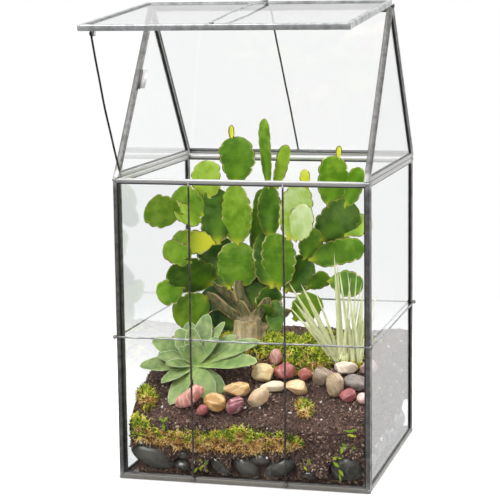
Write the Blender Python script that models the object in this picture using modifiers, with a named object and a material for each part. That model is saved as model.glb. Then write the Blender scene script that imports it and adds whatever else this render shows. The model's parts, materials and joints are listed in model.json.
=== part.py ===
"""A planted glass terrarium with a gabled roof and a hinged lid.

The case is glass in soldered metal came on a metal pan. The front slope of the roof is the
lid, hinged along the ridge and held open by a bent wire prop. Inside lie drainage stones,
soil, moss and river pebbles, with a pad cactus, a rosette and an air plant.
Front is -Y, up is +Z, and the origin is the middle of the pan's underside.
"""
import math
import random

import bmesh
import bpy
from mathutils import Matrix, Vector

MM = 0.001

# Driving dimensions of the case
CASE_WIDTH = 254 * MM
CASE_DEPTH = 242 * MM
WALL_HEIGHT = 301 * MM
ROOF_RISE = 162 * MM
LID_OVERHANG = 4.5 * MM
LID_TILT = math.radians(5)

# Came, glass and the play between pieces that touch
CAME_WIDTH = 5.5 * MM
SILL_WIDTH = 6.5 * MM
CAME_DEPTH = 6 * MM
GLASS_DEPTH = 3 * MM
GLASS_BITE = 2.6 * MM
PLAY = 0.3 * MM
PAN_DEPTH = 2 * MM

# Wires soldered outside the came
WIRE_RADIUS = 1 * MM
BEAD_RADIUS = 2.3 * MM
RING_HEIGHT = 144 * MM
FRONT_WIRE_PLACES = (-50 * MM, 44 * MM)
ROOF_WIRE_BUMP = 1.8 * MM

# Hinge along the ridge
PIN_RADIUS = 1 * MM
PIN_HEAD_RADIUS = 2.1 * MM
PIN_HEAD_LENGTH = 1.4 * MM
BORE_RADIUS = 1.3 * MM
KNUCKLE_RADIUS = 2.6 * MM
KNUCKLE_LENGTH = 24 * MM
KNUCKLE_GAP = 0.6 * MM
HINGE_PLACE = 84 * MM
RIDGE_EDGE = 3.2 * MM
LEAF_NEAR = 1.6 * MM
LEAF_FAR = 5.2 * MM
LEAF_LOW = 1.2 * MM

# Prop, its stud under the lid's front rail, and its foot on the front wall's top rail
PROP_RADIUS = 1 * MM
PROP_EYE_RADIUS = 2.6 * MM
PROP_EYE_BORE = 1.15 * MM
STUD_RADIUS = 0.8 * MM
PROP_X = -119.2 * MM
STUD_ALONG = 193 * MM
STUD_BELOW = 3.2 * MM
FOOT_LIFT = 0.6 * MM
PROP_BOW = 4 * MM
PROP_STEPS = 10
LUG_GAP = 3 * MM
LUG_HALF_WIDTH = 3 * MM
LUG_HALF_DEPTH = 0.6 * MM
LUG_BELOW_STUD = 2.4 * MM
TONGUE_DEPTH = 1 * MM
TONGUE_REACH = 4 * MM

# Catch plate inside the left gable's front edge
CATCH_ALONG = 85 * MM
CATCH_BELOW = 3.2 * MM
CATCH_LENGTH = 22 * MM
CATCH_LOW = -2.4 * MM
CATCH_HIGH = 5 * MM
CATCH_DEPTH = 1.1 * MM

# Bed
BED_LEFT_GAP = 4 * MM
SIDE_STONES = 4
STONE_HALF_DEPTH = 9 * MM
MOSS_BAND_RADIUS = 15.5 * MM
MOSS_BAND_STEPS = 12
STONE_TOP = 39 * MM
SOIL_FRONT_TOP = 64 * MM
SOIL_RISE = 49 * MM
SOIL_STEPS = 16
TRUNK_PLACE = (-26 * MM, 5 * MM)
TRUNK_HEIGHT = 54 * MM
TRUNK_ROOT_RADIUS = 17 * MM
TRUNK_ROOT_DEPTH = 12 * MM
KNOLL_HEIGHT = 9 * MM
KNOLL_SPREAD = 34 * MM
ROOT_RADIUS = 5 * MM
ROOT_DEPTH = 8 * MM
ROOT_HOLE_ABOVE = 30 * MM

# Plants
PAD_DEPTH = 2.4 * MM
PAD_SINK = 3 * MM
PAD_STEPS = 10
ROSETTE_PLACE = (-63 * MM, -52 * MM)
ROSETTE_TILT = math.radians(35)
ROSETTE_HEIGHT = 24 * MM
AIR_PLANT_PLACE = (80 * MM, -18 * MM)

HALF_WIDTH = CASE_WIDTH / 2
HALF_DEPTH = CASE_DEPTH / 2
INNER_HALF_WIDTH = HALF_WIDTH - CAME_DEPTH
INNER_HALF_DEPTH = HALF_DEPTH - CAME_DEPTH
SLOPE_LENGTH = math.hypot(HALF_DEPTH, ROOF_RISE)
SLOPE_ANGLE = math.atan2(ROOF_RISE, HALF_DEPTH)
RIDGE = Vector((0, 0, WALL_HEIGHT + ROOF_RISE))
LID_LENGTH = SLOPE_LENGTH + LID_OVERHANG
UP = Vector((0, 0, 1))

# Each pad: parent, place along it and across it, length, width, tilt to the right, lean to
# the front and twist about its own axis. Lengths are in millimetres and angles in degrees.
PADS = {
    "crown": ("trunk", 1.0, 0.0, 48, 42, 0, 2, 8),
    "crown_high": ("crown", 0.96, 0.0, 63, 35, 1, 6, -12),
    "crown_tip": ("crown_high", 1.0, 0.05, 49, 38, -1, -8, 6),
    "crown_bud": ("crown_tip", 0.95, -0.3, 14, 6, 0, 0, 0),
    "left_tall": ("crown", 1.0, -0.95, 56, 34, -6, -8, 12),
    "left_tall_tip": ("left_tall", 0.84, -0.4, 38, 34, -5, -6, -10),
    "left_upper": ("left_tall", 0.52, -0.8, 38, 31, -48, 8, 18),
    "left_edge": ("left_tall", 0.42, -1.0, 42, 24, -50, 56, 60),
    "left_far": ("left_edge", 0.76, -0.3, 39, 36, -70, 36, -12),
    "left_arm": ("crown", 0.98, -1.2, 44, 26, -84, 30, 10),
    "left_low": ("trunk", 1.05, -2.1, 54, 46, -56, 40, -14),
    "left_low_tip": ("left_low", 0.76, 0.7, 32, 25, -55, 26, 30),
    "left_low_end": ("left_low", 0.5, -0.8, 29, 28, -116, 40, 15),
    "left_droop": ("trunk", 0.78, -2.8, 42, 38, -132, 24, -20),
    "left_back": ("trunk", 1.0, -0.8, 56, 44, -24, -16, 24),
    "right_foot": ("trunk", 0.3, 1.6, 42, 28, 12, 4, 20),
    "right_front": ("right_foot", 0.98, 0.5, 59, 40, 3, 10, -10),
    "right_shade": ("right_foot", 1.0, 0.0, 56, 34, -8, -10, 16),
    "right_spire": ("right_shade", 0.9, 0.15, 54, 25, -1, -4, 24),
    "right_spire_tip": ("right_spire", 0.97, -0.05, 70, 20, -3, 0, -40),
    "right_spire_side": ("right_spire", 0.98, 0.6, 44, 14, 15, 0, 10),
    "right_pale": ("right_front", 0.95, 0.6, 56, 33, 12, -8, 18),
    "right_pale_bud": ("right_pale", 0.97, 0.3, 18, 11, -2, 0, 0),
    "right_white": ("right_front", 0.95, 0.95, 40, 31, 26, 14, -22),
    "right_branch": ("right_foot", 0.95, 1.1, 42, 36, 40, 0, -16),
    "right_bright": ("right_branch", 0.92, -0.35, 34, 26, 18, 6, 26),
    "right_dark": ("right_bright", 0.66, 0.7, 52, 40, 44, -6, 12),
    "right_high": ("right_dark", 0.62, -0.85, 52, 32, 6, -6, 14),
    "right_high_bud": ("right_high", 0.95, 0.2, 13, 6, 4, 0, 0),
    "right_high_side": ("right_dark", 0.85, -0.35, 42, 27, 26, 2, -28),
    "right_dark_end": ("right_dark", 0.45, 0.75, 28, 23, 56, -14, -15),
    "right_wide": ("right_branch", 1.0, 0.0, 58, 28, 74, 2, -8),
    "right_small": ("right_branch", 0.45, 0.9, 27, 19, 58, 8, 22),
    "right_small_end": ("right_small", 0.9, 0.6, 36, 27, 100, 6, -16),
    "back_low": ("trunk", 0.3, -1.2, 46, 38, -34, -14, 10),
    "back_middle": ("trunk", 0.5, 0.75, 54, 32, 6, -12, 10),
    "right_low": ("right_foot", 0.25, 2.2, 38, 30, 44, 14, 16),
}

# Woody limbs from the trunk, each a list of points from the trunk's foot in millimetres
LIMBS = (
    ((-3, 0, 14), (-20, -2, 26), (-45, 0, 43)),
    ((4, -1, 8), (18, -2, 16), (33, 1, 26), (45, 3, 31)),
    ((-1, 1, 20), (-14, 2, 40), (-38, 0, 58)),
)

# Each river pebble: place from the left and front, then half its width, depth and height
PEBBLES = {
    "pink": (-58, -102, 13, 10, 11.5),
    "red_chip": (-43, -110, 4, 4, 5),
    "orange": (-32, -102, 11.5, 9, 8.5),
    "yellow": (-14, -82, 13.5, 10, 7.5),
    "plum": (-10.5, -106, 8.5, 8, 9),
    "sand": (5, -57, 12.5, 9, 9),
    "cream": (19, -70.5, 12, 7, 5.5),
    "tan": (10, -95, 12, 9, 9.5),
    "brick": (26.5, -49, 10.5, 8, 8),
    "rose": (13, -31, 7, 6.5, 7.5),
    "peach": (44.5, -73, 12.5, 8, 7),
    "russet": (48, -52, 6.5, 6, 6.5),
    "umber": (65.5, -58, 9.5, 8.5, 9),
    "striped": (83, -72, 8.5, 8, 12),
    "shell": (86, -38, 12, 7.5, 6),
    "mauve": (108, -36, 6.5, 6.5, 7.5),
    "slate": (101, -62, 11.5, 9, 8.5),
    "scarlet": (97.5, -80, 8, 7, 6.5),
    "blush": (113, -82, 6, 6, 5.5),
    "bead": (72, -44, 3.5, 3.5, 3),
}


# Front row of drainage stones: place from the left, height, half width and half height in mm
FRONT_STONES = (
    (-93, 25, 23, 13), (-58, 22, 9, 10), (-21, 20, 13, 11), (8, 21, 15, 12),
    (36, 24, 15, 14), (65, 15, 12, 9), (101, 21, 19, 17),
)

# Moss patches: middle, spread, height, number of cushions and seed
MOSS_PATCHES = {
    "moss_mound": ((31 * MM, -14 * MM), 16 * MM, 12 * MM, 4, 3),
    "moss_tuft_left": ((-104 * MM, -92 * MM), 8 * MM, 11 * MM, 3, 5),
    "moss_tuft_right": ((58 * MM, -92 * MM), 7.5 * MM, 5 * MM, 3, 8),
}

# Layers of the rosette, from the outside in: number of leaves, length and width in mm, rise
# and arch in degrees, and the first leaf's heading in radians
ROSETTE_LAYERS = (
    (9, 52, 20, 14, -20, 0.15),
    (7, 43, 19, 38, -8, 0.5),
    (4, 27, 16, 60, 10, 0.2),
)

# Leaves of the air plant: heading in degrees, length in mm, then rise and arch in degrees
AIR_LEAVES = (
    (175, 108, 84, 4), (-80, 96, 86, 3), (182, 104, 64, 8), (190, 100, 56, 12), (5, 72, 80, 10),
    (202, 80, 48, 18), (-60, 60, 66, 16), (150, 66, 68, 12), (-112, 58, 56, 20), (-28, 42, 60, 16),
    (168, 54, 44, 22), (-92, 42, 44, 24), (60, 58, 72, 8), (196, 92, 74, 6), (-130, 78, 74, 8),
    (186, 112, 70, 10), (170, 84, 58, 14),
)
AIR_LEAF_WIDTH = 6.5 * MM


def clear_scene():
    """Remove the objects that a new scene holds."""
    for obj in list(bpy.data.objects):
        bpy.data.objects.remove(obj, do_unlink=True)


def make_material(name, colour, roughness, metallic=0.0, transmission=0.0):
    """Make a plain Principled material."""
    material = bpy.data.materials.new(name)
    material.use_nodes = True
    shader = material.node_tree.nodes["Principled BSDF"]
    shader.inputs["Base Color"].default_value = (*colour, 1)
    shader.inputs["Roughness"].default_value = roughness
    shader.inputs["Metallic"].default_value = metallic
    shader.inputs["Transmission Weight"].default_value = transmission
    return material


def baked(obj):
    """Turn the object's live modifiers into plain mesh and close its seams."""
    bpy.context.view_layer.update()
    depsgraph = bpy.context.evaluated_depsgraph_get()
    mesh = bpy.data.meshes.new_from_object(obj.evaluated_get(depsgraph))
    obj.modifiers.clear()
    obj.data = mesh
    shape = bmesh.new()
    shape.from_mesh(mesh)
    bmesh.ops.remove_doubles(shape, verts=shape.verts, dist=0.002 * MM)
    bmesh.ops.dissolve_degenerate(shape, edges=shape.edges, dist=0.001 * MM)
    shape.to_mesh(mesh)
    shape.free()
    return obj


def from_bmesh(name, shape):
    """Make an object in the work collection from a bmesh."""
    mesh = bpy.data.meshes.new(name)
    bmesh.ops.recalc_face_normals(shape, faces=shape.faces)
    shape.to_mesh(mesh)
    shape.free()
    obj = bpy.data.objects.new(name, mesh)
    WORK.objects.link(obj)
    return obj


def from_curve(name, curve, matrix=None):
    """Turn a curve into a welded mesh object and remove the curve."""
    guide = bpy.data.objects.new(name + "_guide", curve)
    WORK.objects.link(guide)
    if matrix is not None:
        guide.matrix_world = matrix
    bpy.context.view_layer.update()
    depsgraph = bpy.context.evaluated_depsgraph_get()
    mesh = bpy.data.meshes.new_from_object(guide.evaluated_get(depsgraph))
    shape = bmesh.new()
    shape.from_mesh(mesh)
    bmesh.ops.transform(shape, matrix=guide.matrix_world, verts=shape.verts)
    bmesh.ops.remove_doubles(shape, verts=shape.verts, dist=0.002 * MM)
    bpy.data.objects.remove(guide, do_unlink=True)
    return from_bmesh(name, shape)


def plate(name, outline, low, high):
    """Extrude a flat outline in X and Y between two heights."""
    curve = bpy.data.curves.new(name, "CURVE")
    curve.dimensions = "2D"
    curve.fill_mode = "BOTH"
    curve.extrude = (high - low) / 2
    spline = curve.splines.new("POLY")
    spline.points.add(len(outline) - 1)
    for point, place in zip(spline.points, outline):
        point.co = (place[0], place[1], 0, 1)
    spline.use_cyclic_u = True
    return from_curve(name, curve, Matrix.Translation((0, 0, (low + high) / 2)))


def tube(name, points, radius, scales=None, resolution=2):
    """Sweep a round section along points, with an optional scale at each."""
    curve = bpy.data.curves.new(name, "CURVE")
    curve.dimensions = "3D"
    curve.bevel_depth = radius
    curve.bevel_resolution = resolution
    curve.use_fill_caps = True
    spline = curve.splines.new("POLY")
    spline.points.add(len(points) - 1)
    for index, (point, place) in enumerate(zip(spline.points, points)):
        point.co = (*place, 1)
        point.radius = scales[index] if scales else 1
    return from_curve(name, curve)


def box(name, low, high):
    """Make a box between two opposite corners."""
    shape = bmesh.new()
    bmesh.ops.create_cube(shape, size=1)
    low, high = Vector(low), Vector(high)
    bmesh.ops.scale(shape, vec=high - low, verts=shape.verts)
    bmesh.ops.translate(shape, vec=(low + high) / 2, verts=shape.verts)
    return from_bmesh(name, shape)


def rod(name, start, end, radius, sides=16):
    """Make a straight round rod between two points."""
    start, end = Vector(start), Vector(end)
    shape = bmesh.new()
    bmesh.ops.create_cone(shape, cap_ends=True, segments=sides, radius1=radius, radius2=radius,
                          depth=(end - start).length)
    turn = UP.rotation_difference(end - start).to_matrix().to_4x4()
    bmesh.ops.transform(shape, matrix=Matrix.Translation((start + end) / 2) @ turn, verts=shape.verts)
    return from_bmesh(name, shape)


def bead(centre, radii):
    """Make a small bead of solder."""
    return lump("bead", centre, radii, fineness=1)


def lump(name, centre, radii, turn=0.0, grow=0.0, fineness=2):
    """Make a smooth ellipsoid, turned about the vertical and grown by an amount."""
    shape = bmesh.new()
    bmesh.ops.create_icosphere(shape, subdivisions=fineness, radius=1)
    bmesh.ops.scale(shape, vec=Vector(radii) + Vector((grow, grow, grow)), verts=shape.verts)
    bmesh.ops.rotate(shape, cent=(0, 0, 0), matrix=Matrix.Rotation(turn, 3, "Z"), verts=shape.verts)
    bmesh.ops.translate(shape, vec=centre, verts=shape.verts)
    return from_bmesh(name, shape)


def united(name, pieces, solver="EXACT"):
    """Join overlapping pieces in one body."""
    group = bpy.data.collections.new(name + "_pieces")
    CUTTERS.children.link(group)
    first, rest = pieces[0], pieces[1:]
    for piece in rest:
        group.objects.link(piece)
    join = first.modifiers.new("join", "BOOLEAN")
    join.operation = "UNION"
    join.solver = solver
    join.operand_type = "COLLECTION"
    join.collection = group
    baked(first)
    for piece in rest:
        bpy.data.objects.remove(piece, do_unlink=True)
    bpy.data.collections.remove(group)
    first.name = name
    return first


def cut(obj, cutters, operation="DIFFERENCE"):
    """Take cutters from the object, or keep only what they share, then remove them."""
    for cutter in cutters:
        step = obj.modifiers.new("cut", "BOOLEAN")
        step.operation = operation
        step.solver = "EXACT"
        step.object = cutter
    baked(obj)
    for cutter in cutters:
        bpy.data.objects.remove(cutter, do_unlink=True)
    return obj


def place(obj, name, material, matrix=None, parent=None, smooth=None):
    """Name the finished piece, dress it and put it in the terrarium's collection."""
    obj.name = name
    obj.data.name = name
    obj.data.materials.clear()
    obj.data.materials.append(material)
    if smooth is not None:
        obj.data.shade_smooth()
        obj.data.set_sharp_from_angle(angle=smooth)
    if matrix is not None:
        obj.matrix_world = matrix
    if parent is not None:
        obj.parent = parent
    WORK.objects.unlink(obj)
    PARTS.objects.link(obj)
    return obj


def facing(place_at, across, upward):
    """Matrix that turns a flat piece's X and Y to two directions, with Z facing out."""
    across, upward = Vector(across), Vector(upward)
    turn = Matrix((across, upward, across.cross(upward))).transposed()
    return Matrix.Translation(place_at) @ turn.to_4x4()


def inset(outline, widths):
    """Move each side of a convex outline, listed anticlockwise, inwards by its own width."""
    points = [Vector(point) for point in outline]
    moved = []
    for index, here in enumerate(points):
        before = (here - points[index - 1]).normalized()
        after = (points[(index + 1) % len(points)] - here).normalized()
        first = Vector((-before.y, before.x))
        second = Vector((-after.y, after.x))
        shared = first.dot(second)
        near, far = widths[index - 1], widths[index]
        step = (first * (near - far * shared) + second * (far - near * shared)) / (1 - shared ** 2)
        moved.append(here + step)
    return moved


def came_ring(name, outline, widths, low=0.0):
    """Came round an outline: a mitred ring with a groove for the glass."""
    high = low + CAME_DEPTH
    middle = (low + high) / 2
    groove_half = GLASS_DEPTH / 2 + PLAY
    window = inset(outline, widths)
    groove = inset(outline, [width - GLASS_BITE - PLAY for width in widths])
    ring = plate(name, outline, low, high)
    return cut(ring, [
        plate("window", window, low - CAME_DEPTH, high + CAME_DEPTH),
        plate("groove", groove, middle - groove_half, middle + groove_half),
    ])


def pane(name, outline, widths, low=0.0):
    """Glass that fills a came ring's groove."""
    middle = low + CAME_DEPTH / 2
    edge = inset(outline, [width - GLASS_BITE for width in widths])
    return plate(name, edge, middle - GLASS_DEPTH / 2, middle + GLASS_DEPTH / 2)


def rectangle(width, height, low=0.0):
    """Outline of a rectangle that stands on the X axis, or on a given height."""
    return [(-width / 2, low), (width / 2, low), (width / 2, low + height), (-width / 2, low + height)]


def build_walls(metal, glass):
    """Four upright panels and two gables, each a came ring and its pane."""
    side_depth = CASE_DEPTH - 2 * CAME_DEPTH - 2 * PLAY
    wall_widths = [SILL_WIDTH, CAME_WIDTH, CAME_WIDTH, CAME_WIDTH]
    full = rectangle(CASE_WIDTH, WALL_HEIGHT)
    side = rectangle(side_depth, WALL_HEIGHT)
    base_half = HALF_DEPTH - PLAY * HALF_DEPTH / ROOF_RISE
    gable = [(-base_half, WALL_HEIGHT + PLAY), (base_half, WALL_HEIGHT + PLAY), (0, RIDGE.z)]
    gable_widths = [CAME_WIDTH] * 3
    inner_front = facing((0, -INNER_HALF_DEPTH, 0), (1, 0, 0), UP)
    inner_back = facing((0, INNER_HALF_DEPTH, 0), (-1, 0, 0), UP)
    inner_left = facing((-INNER_HALF_WIDTH, 0, 0), (0, -1, 0), UP)
    inner_right = facing((INNER_HALF_WIDTH, 0, 0), (0, 1, 0), UP)
    panels = (
        ("front", full, wall_widths, inner_front),
        ("back", full, wall_widths, inner_back),
        ("left", side, wall_widths, inner_left),
        ("right", side, wall_widths, inner_right),
        ("left_gable", gable, gable_widths, inner_left),
        ("right_gable", gable, gable_widths, inner_right),
    )
    for name, outline, widths, matrix in panels:
        ring = came_ring(name, outline, widths)
        if "gable" in name:
            hinge_hole = rod("hinge_hole", (0, RIDGE.z, -CAME_DEPTH), (0, RIDGE.z, 2 * CAME_DEPTH),
                             BORE_RADIUS + PLAY / 2)
            cut(ring, [hinge_hole])
        place(ring, name + "_frame", metal, matrix)
        place(pane(name, outline, widths), name + "_glass", glass, matrix)


def roof_panel(name, length, knuckles):
    """Came ring of one slope, hinged on the local X axis and reaching to -Y."""
    outline = rectangle(CASE_WIDTH, length - RIDGE_EDGE, -length)
    widths = [CAME_WIDTH] * 4
    pieces = [came_ring(name, outline, widths, PLAY)]
    for middle in knuckles:
        left, right = middle - KNUCKLE_LENGTH / 2, middle + KNUCKLE_LENGTH / 2
        barrel = rod("barrel", (left, 0, 0), (right, 0, 0), KNUCKLE_RADIUS, 12)
        bore = rod("bore", (left - PLAY, 0, 0), (right + PLAY, 0, 0), BORE_RADIUS, 12)
        pieces.append(cut(barrel, [bore]))
        pieces.append(box("leaf", (left + PLAY, -LEAF_FAR, LEAF_LOW),
                          (right - PLAY, -LEAF_NEAR, KNUCKLE_RADIUS - PLAY)))
    return united(name, pieces), pane(name, outline, widths, PLAY)


def roof_wire(name, length):
    """Wire along a slope's middle, bowed up a little and beaded at both rails."""
    rail_near = RIDGE_EDGE + CAME_WIDTH / 2
    rail_far = length - CAME_WIDTH / 2
    base = PLAY + CAME_DEPTH + PLAY + WIRE_RADIUS
    steps = 8
    points = []
    for step in range(steps + 1):
        share = step / steps
        along = -(rail_near + (rail_far - rail_near) * share)
        points.append((0, along, base + ROOF_WIRE_BUMP * math.sin(math.pi * share)))
    beads = []
    for along in (-rail_near, -rail_far):
        beads.append(bead((0, along, base), (BEAD_RADIUS, BEAD_RADIUS, WIRE_RADIUS * 1.2)))
    return united(name, [tube(name, points, WIRE_RADIUS)] + beads)


def prop_lug():
    """Tongue under the lid's front rail, with the lug and the stud that carry the prop."""
    lug_x = PROP_X + LUG_GAP
    tongue = box("tongue", (lug_x - TONGUE_DEPTH, -LID_LENGTH + CAME_WIDTH / 2, PLAY),
                 (lug_x + TONGUE_REACH, -STUD_ALONG + LUG_HALF_WIDTH, PLAY + TONGUE_DEPTH))
    lug = box("lug", (lug_x - LUG_HALF_DEPTH, -STUD_ALONG - LUG_HALF_WIDTH, -STUD_BELOW - LUG_BELOW_STUD),
              (lug_x + LUG_HALF_DEPTH, -STUD_ALONG + LUG_HALF_WIDTH, PLAY + TONGUE_DEPTH / 2))
    stud = rod("stud", (lug_x, -STUD_ALONG, -STUD_BELOW), (PROP_X - LUG_GAP / 2, -STUD_ALONG, -STUD_BELOW),
               STUD_RADIUS, 10)
    return [tongue, lug, stud]


def build_roof(metal, glass):
    """Fixed back slope, hinged lid and the pin that joins them."""
    fixed_place = HINGE_PLACE + KNUCKLE_LENGTH + KNUCKLE_GAP
    fixed_knuckles = (-fixed_place, fixed_place)
    lid_knuckles = (-HINGE_PLACE, HINGE_PLACE)
    down_back = Vector((0, math.cos(SLOPE_ANGLE), -math.sin(SLOPE_ANGLE)))
    back = facing(RIDGE, (-1, 0, 0), -down_back)
    ring, glazing = roof_panel("back_slope", SLOPE_LENGTH, fixed_knuckles)
    place(ring, "back_slope_frame", metal, back)
    place(glazing, "back_slope_glass", glass, back)
    place(roof_wire("back_slope_wire", SLOPE_LENGTH), "back_slope_wire", metal, back, smooth=1.0)

    lid = bpy.data.objects.new("lid_axis", None)
    lid.location = RIDGE
    lid.rotation_euler = (LID_TILT, 0, 0)
    PARTS.objects.link(lid)
    ring, glazing = roof_panel("lid", LID_LENGTH, lid_knuckles)
    place(united("lid_frame", [ring] + prop_lug()), "lid_frame", metal, parent=lid)
    place(glazing, "lid_glass", glass, parent=lid)
    place(roof_wire("lid_wire", LID_LENGTH), "lid_wire", metal, parent=lid, smooth=1.0)

    reach = HALF_WIDTH + PLAY
    pin = [rod("pin", (-reach - PIN_HEAD_LENGTH, 0, 0), (reach + PIN_HEAD_LENGTH, 0, 0), PIN_RADIUS, 12)]
    for side in (-1, 1):
        pin.append(rod("head", (side * reach, 0, 0), (side * (reach + PIN_HEAD_LENGTH), 0, 0),
                       PIN_HEAD_RADIUS, 12))
    place(united("hinge_pin", pin), "hinge_pin", metal, Matrix.Translation(RIDGE), smooth=1.0)


def stud_place():
    """World place of the prop's stud with the lid at rest."""
    turn = Matrix.Rotation(LID_TILT, 3, "X")
    return RIDGE + turn @ Vector((PROP_X, -STUD_ALONG, -STUD_BELOW))


def build_prop(dark_metal):
    """Bent wire that holds the lid open, with an eye on the stud and its foot on the rail."""
    axis = bpy.data.objects.new("prop_axis", None)
    axis.location = stud_place()
    PARTS.objects.link(axis)
    foot = Vector((PROP_X, -HALF_DEPTH + CAME_DEPTH / 2, WALL_HEIGHT + FOOT_LIFT + PROP_RADIUS))
    run = foot - stud_place()
    bow = Vector((0, run.z, -run.y)).normalized()
    points = []
    for step in range(PROP_STEPS + 1):
        share = step / PROP_STEPS
        points.append(run * share + bow * PROP_BOW * math.sin(math.pi * share))
    eye = rod("eye", (-PROP_RADIUS, 0, 0), (PROP_RADIUS, 0, 0), PROP_EYE_RADIUS, 14)
    heel = lump("heel", points[-1], (PROP_RADIUS * 1.15,) * 3)
    prop = united("lid_prop", [eye, tube("stem", points, PROP_RADIUS), heel])
    cut(prop, [rod("eye_bore", (-3 * MM, 0, 0), (3 * MM, 0, 0), PROP_EYE_BORE, 14)])
    place(prop, "lid_prop", dark_metal, parent=axis, smooth=1.0)


def build_trim(metal, dark_metal):
    """Outside wires with solder beads, the pan and the catch plate inside the left gable."""
    off = PLAY + WIRE_RADIUS
    front, side = -HALF_DEPTH - off, HALF_WIDTH + off
    ring_corners = [(-side, front), (side, front), (side, -front), (-side, -front)]
    pieces = []
    for index, start in enumerate(ring_corners):
        end = ring_corners[(index + 1) % 4]
        pieces.append(rod("ring", (*start, RING_HEIGHT), (*end, RING_HEIGHT), WIRE_RADIUS, 8))
        pieces.append(bead((*start, RING_HEIGHT), (BEAD_RADIUS * 0.7,) * 3))
    rail_low, rail_high = SILL_WIDTH / 2, WALL_HEIGHT - CAME_WIDTH / 2
    for wire_x in FRONT_WIRE_PLACES:
        pieces.append(rod("upright", (wire_x, front, rail_low), (wire_x, front, rail_high), WIRE_RADIUS, 8))
        for height in (rail_low, RING_HEIGHT, rail_high):
            pieces.append(bead((wire_x, front, height), (BEAD_RADIUS, WIRE_RADIUS * 1.2, BEAD_RADIUS)))
    place(united("wire_grid", pieces), "wire_grid", metal, smooth=1.0)

    pan = rectangle(CASE_WIDTH - 2 * CAME_DEPTH - 2 * PLAY, CASE_DEPTH - 2 * CAME_DEPTH - 2 * PLAY,
                    -INNER_HALF_DEPTH + PLAY)
    place(plate("base_pan", pan, 0, PAN_DEPTH), "base_pan", metal)

    up_slope = Vector((0, math.cos(SLOPE_ANGLE), math.sin(SLOPE_ANGLE)))
    inward = Vector((0, math.sin(SLOPE_ANGLE), -math.cos(SLOPE_ANGLE)))
    catch_middle = RIDGE - up_slope * CATCH_ALONG + inward * CATCH_BELOW
    catch_middle.x = -INNER_HALF_WIDTH + PLAY
    strip = box("strip", (-CATCH_LENGTH / 2, CATCH_LOW, 0), (CATCH_LENGTH / 2, CATCH_HIGH, CATCH_DEPTH))
    dot_x, dot_y = CATCH_LENGTH * 0.36, CATCH_HIGH * 0.6
    dot = rod("dot", (dot_x, dot_y, PLAY), (dot_x, dot_y, CATCH_DEPTH * 1.7), CATCH_DEPTH * 1.3, 10)
    catch = united("catch_plate", [strip, dot])
    place(catch, "catch_plate", dark_metal, facing(catch_middle, -up_slope, inward))


def ground(x, y):
    """Height of the soil's surface: a slope up from the front and a knoll at the trunk."""
    run = min(max((y + INNER_HALF_DEPTH) / INNER_HALF_DEPTH, 0), 1)
    slope = SOIL_RISE * run
    away = (x - TRUNK_PLACE[0]) ** 2 + (y - TRUNK_PLACE[1]) ** 2
    knoll = KNOLL_HEIGHT * math.exp(-away / (2 * KNOLL_SPREAD ** 2))
    ripple = 1.2 * MM * math.sin(x * 70) * math.cos(y * 60)
    return SOIL_FRONT_TOP + slope + knoll + ripple


def drainage_lumps():
    """Polished stones round the foot of the bed, largest at the front's right corner."""
    rng = random.Random(7)
    low = PAN_DEPTH + PLAY
    left, right = -INNER_HALF_WIDTH + BED_LEFT_GAP, INNER_HALF_WIDTH - PLAY
    front = -INNER_HALF_DEPTH + PLAY
    deep = STONE_HALF_DEPTH
    stones = []
    for x, z, half_width, half_height in FRONT_STONES:
        stones.append(((x * MM, front + deep, z * MM), (half_width * MM, deep, half_height * MM)))
    for fixed, along_low, along_high, on_side in (
            (-front - deep, left + 22 * MM, right - 22 * MM, False),
            (left + deep, front + 34 * MM, -front - 34 * MM, True),
            (right - deep, front + 44 * MM, -front - 34 * MM, True)):
        for index in range(SIDE_STONES):
            along = along_low + (along_high - along_low) * index / (SIDE_STONES - 1)
            long, tall = rng.uniform(15, 21) * MM, rng.uniform(11, 14) * MM
            centre_z = low + tall + rng.uniform(2, 7) * MM
            if on_side:
                stones.append(((fixed, along, centre_z), (deep, long, tall)))
            else:
                stones.append(((along, fixed, centre_z), (long, deep, tall)))
    return [lump("stone", centre, radii) for centre, radii in stones]


def moss_band(name, grow):
    """Moss pressed on the front glass, in a wandering band from the left."""
    points, scales = [], []
    start, run = -113 * MM - 2 * grow, 173 * MM + 4 * grow
    for step in range(MOSS_BAND_STEPS + 1):
        share = step / MOSS_BAND_STEPS
        sink = 3 * MM * math.sin(share * 9)
        points.append((start + run * share, 0, 46.5 * MM + sink + 6 * MM * (1 - share) ** 6))
        scales.append(0.9 + 0.2 * math.cos(share * 19) - 0.45 * share ** 5)
    band = tube(name, points, MOSS_BAND_RADIUS + grow, scales)
    flatten = Matrix.Translation((0, -INNER_HALF_DEPTH, 0)) @ Matrix.Diagonal((1, 0.5, 1, 1))
    band.data.transform(flatten)
    return band


def moss_patch(middle, spread, height, count, grow, seed):
    """Low cushions of moss that stand out of the soil round a middle."""
    rng = random.Random(seed)
    lumps = []
    for index in range(count):
        angle = index * math.radians(137.5)
        out = spread * math.sqrt(index / count)
        x = middle[0] + out * math.cos(angle) * 1.5
        y = middle[1] + out * math.sin(angle)
        wide = rng.uniform(0.5, 0.7) * spread
        radii = (wide * 1.3, wide, height * rng.uniform(0.8, 1.1))
        lumps.append(lump("moss", (x, y, ground(x, y) + 1 * MM), radii, turn=angle, grow=grow))
    return lumps


def build_stones(stone_skin):
    """Bed of drainage stones on the pan, flat where the soil lies on it."""
    left, right = -INNER_HALF_WIDTH + BED_LEFT_GAP, INNER_HALF_WIDTH - PLAY
    front = -INNER_HALF_DEPTH + PLAY
    core_low = (left + 4 * MM, front + 8 * MM, PAN_DEPTH + PLAY)
    core_high = (right - 4 * MM, -front - 8 * MM, STONE_TOP)
    stones = united("drainage_stones", [box("core", core_low, core_high)] + drainage_lumps())
    place(stones, "drainage_stones", stone_skin, smooth=0.8)


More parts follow.
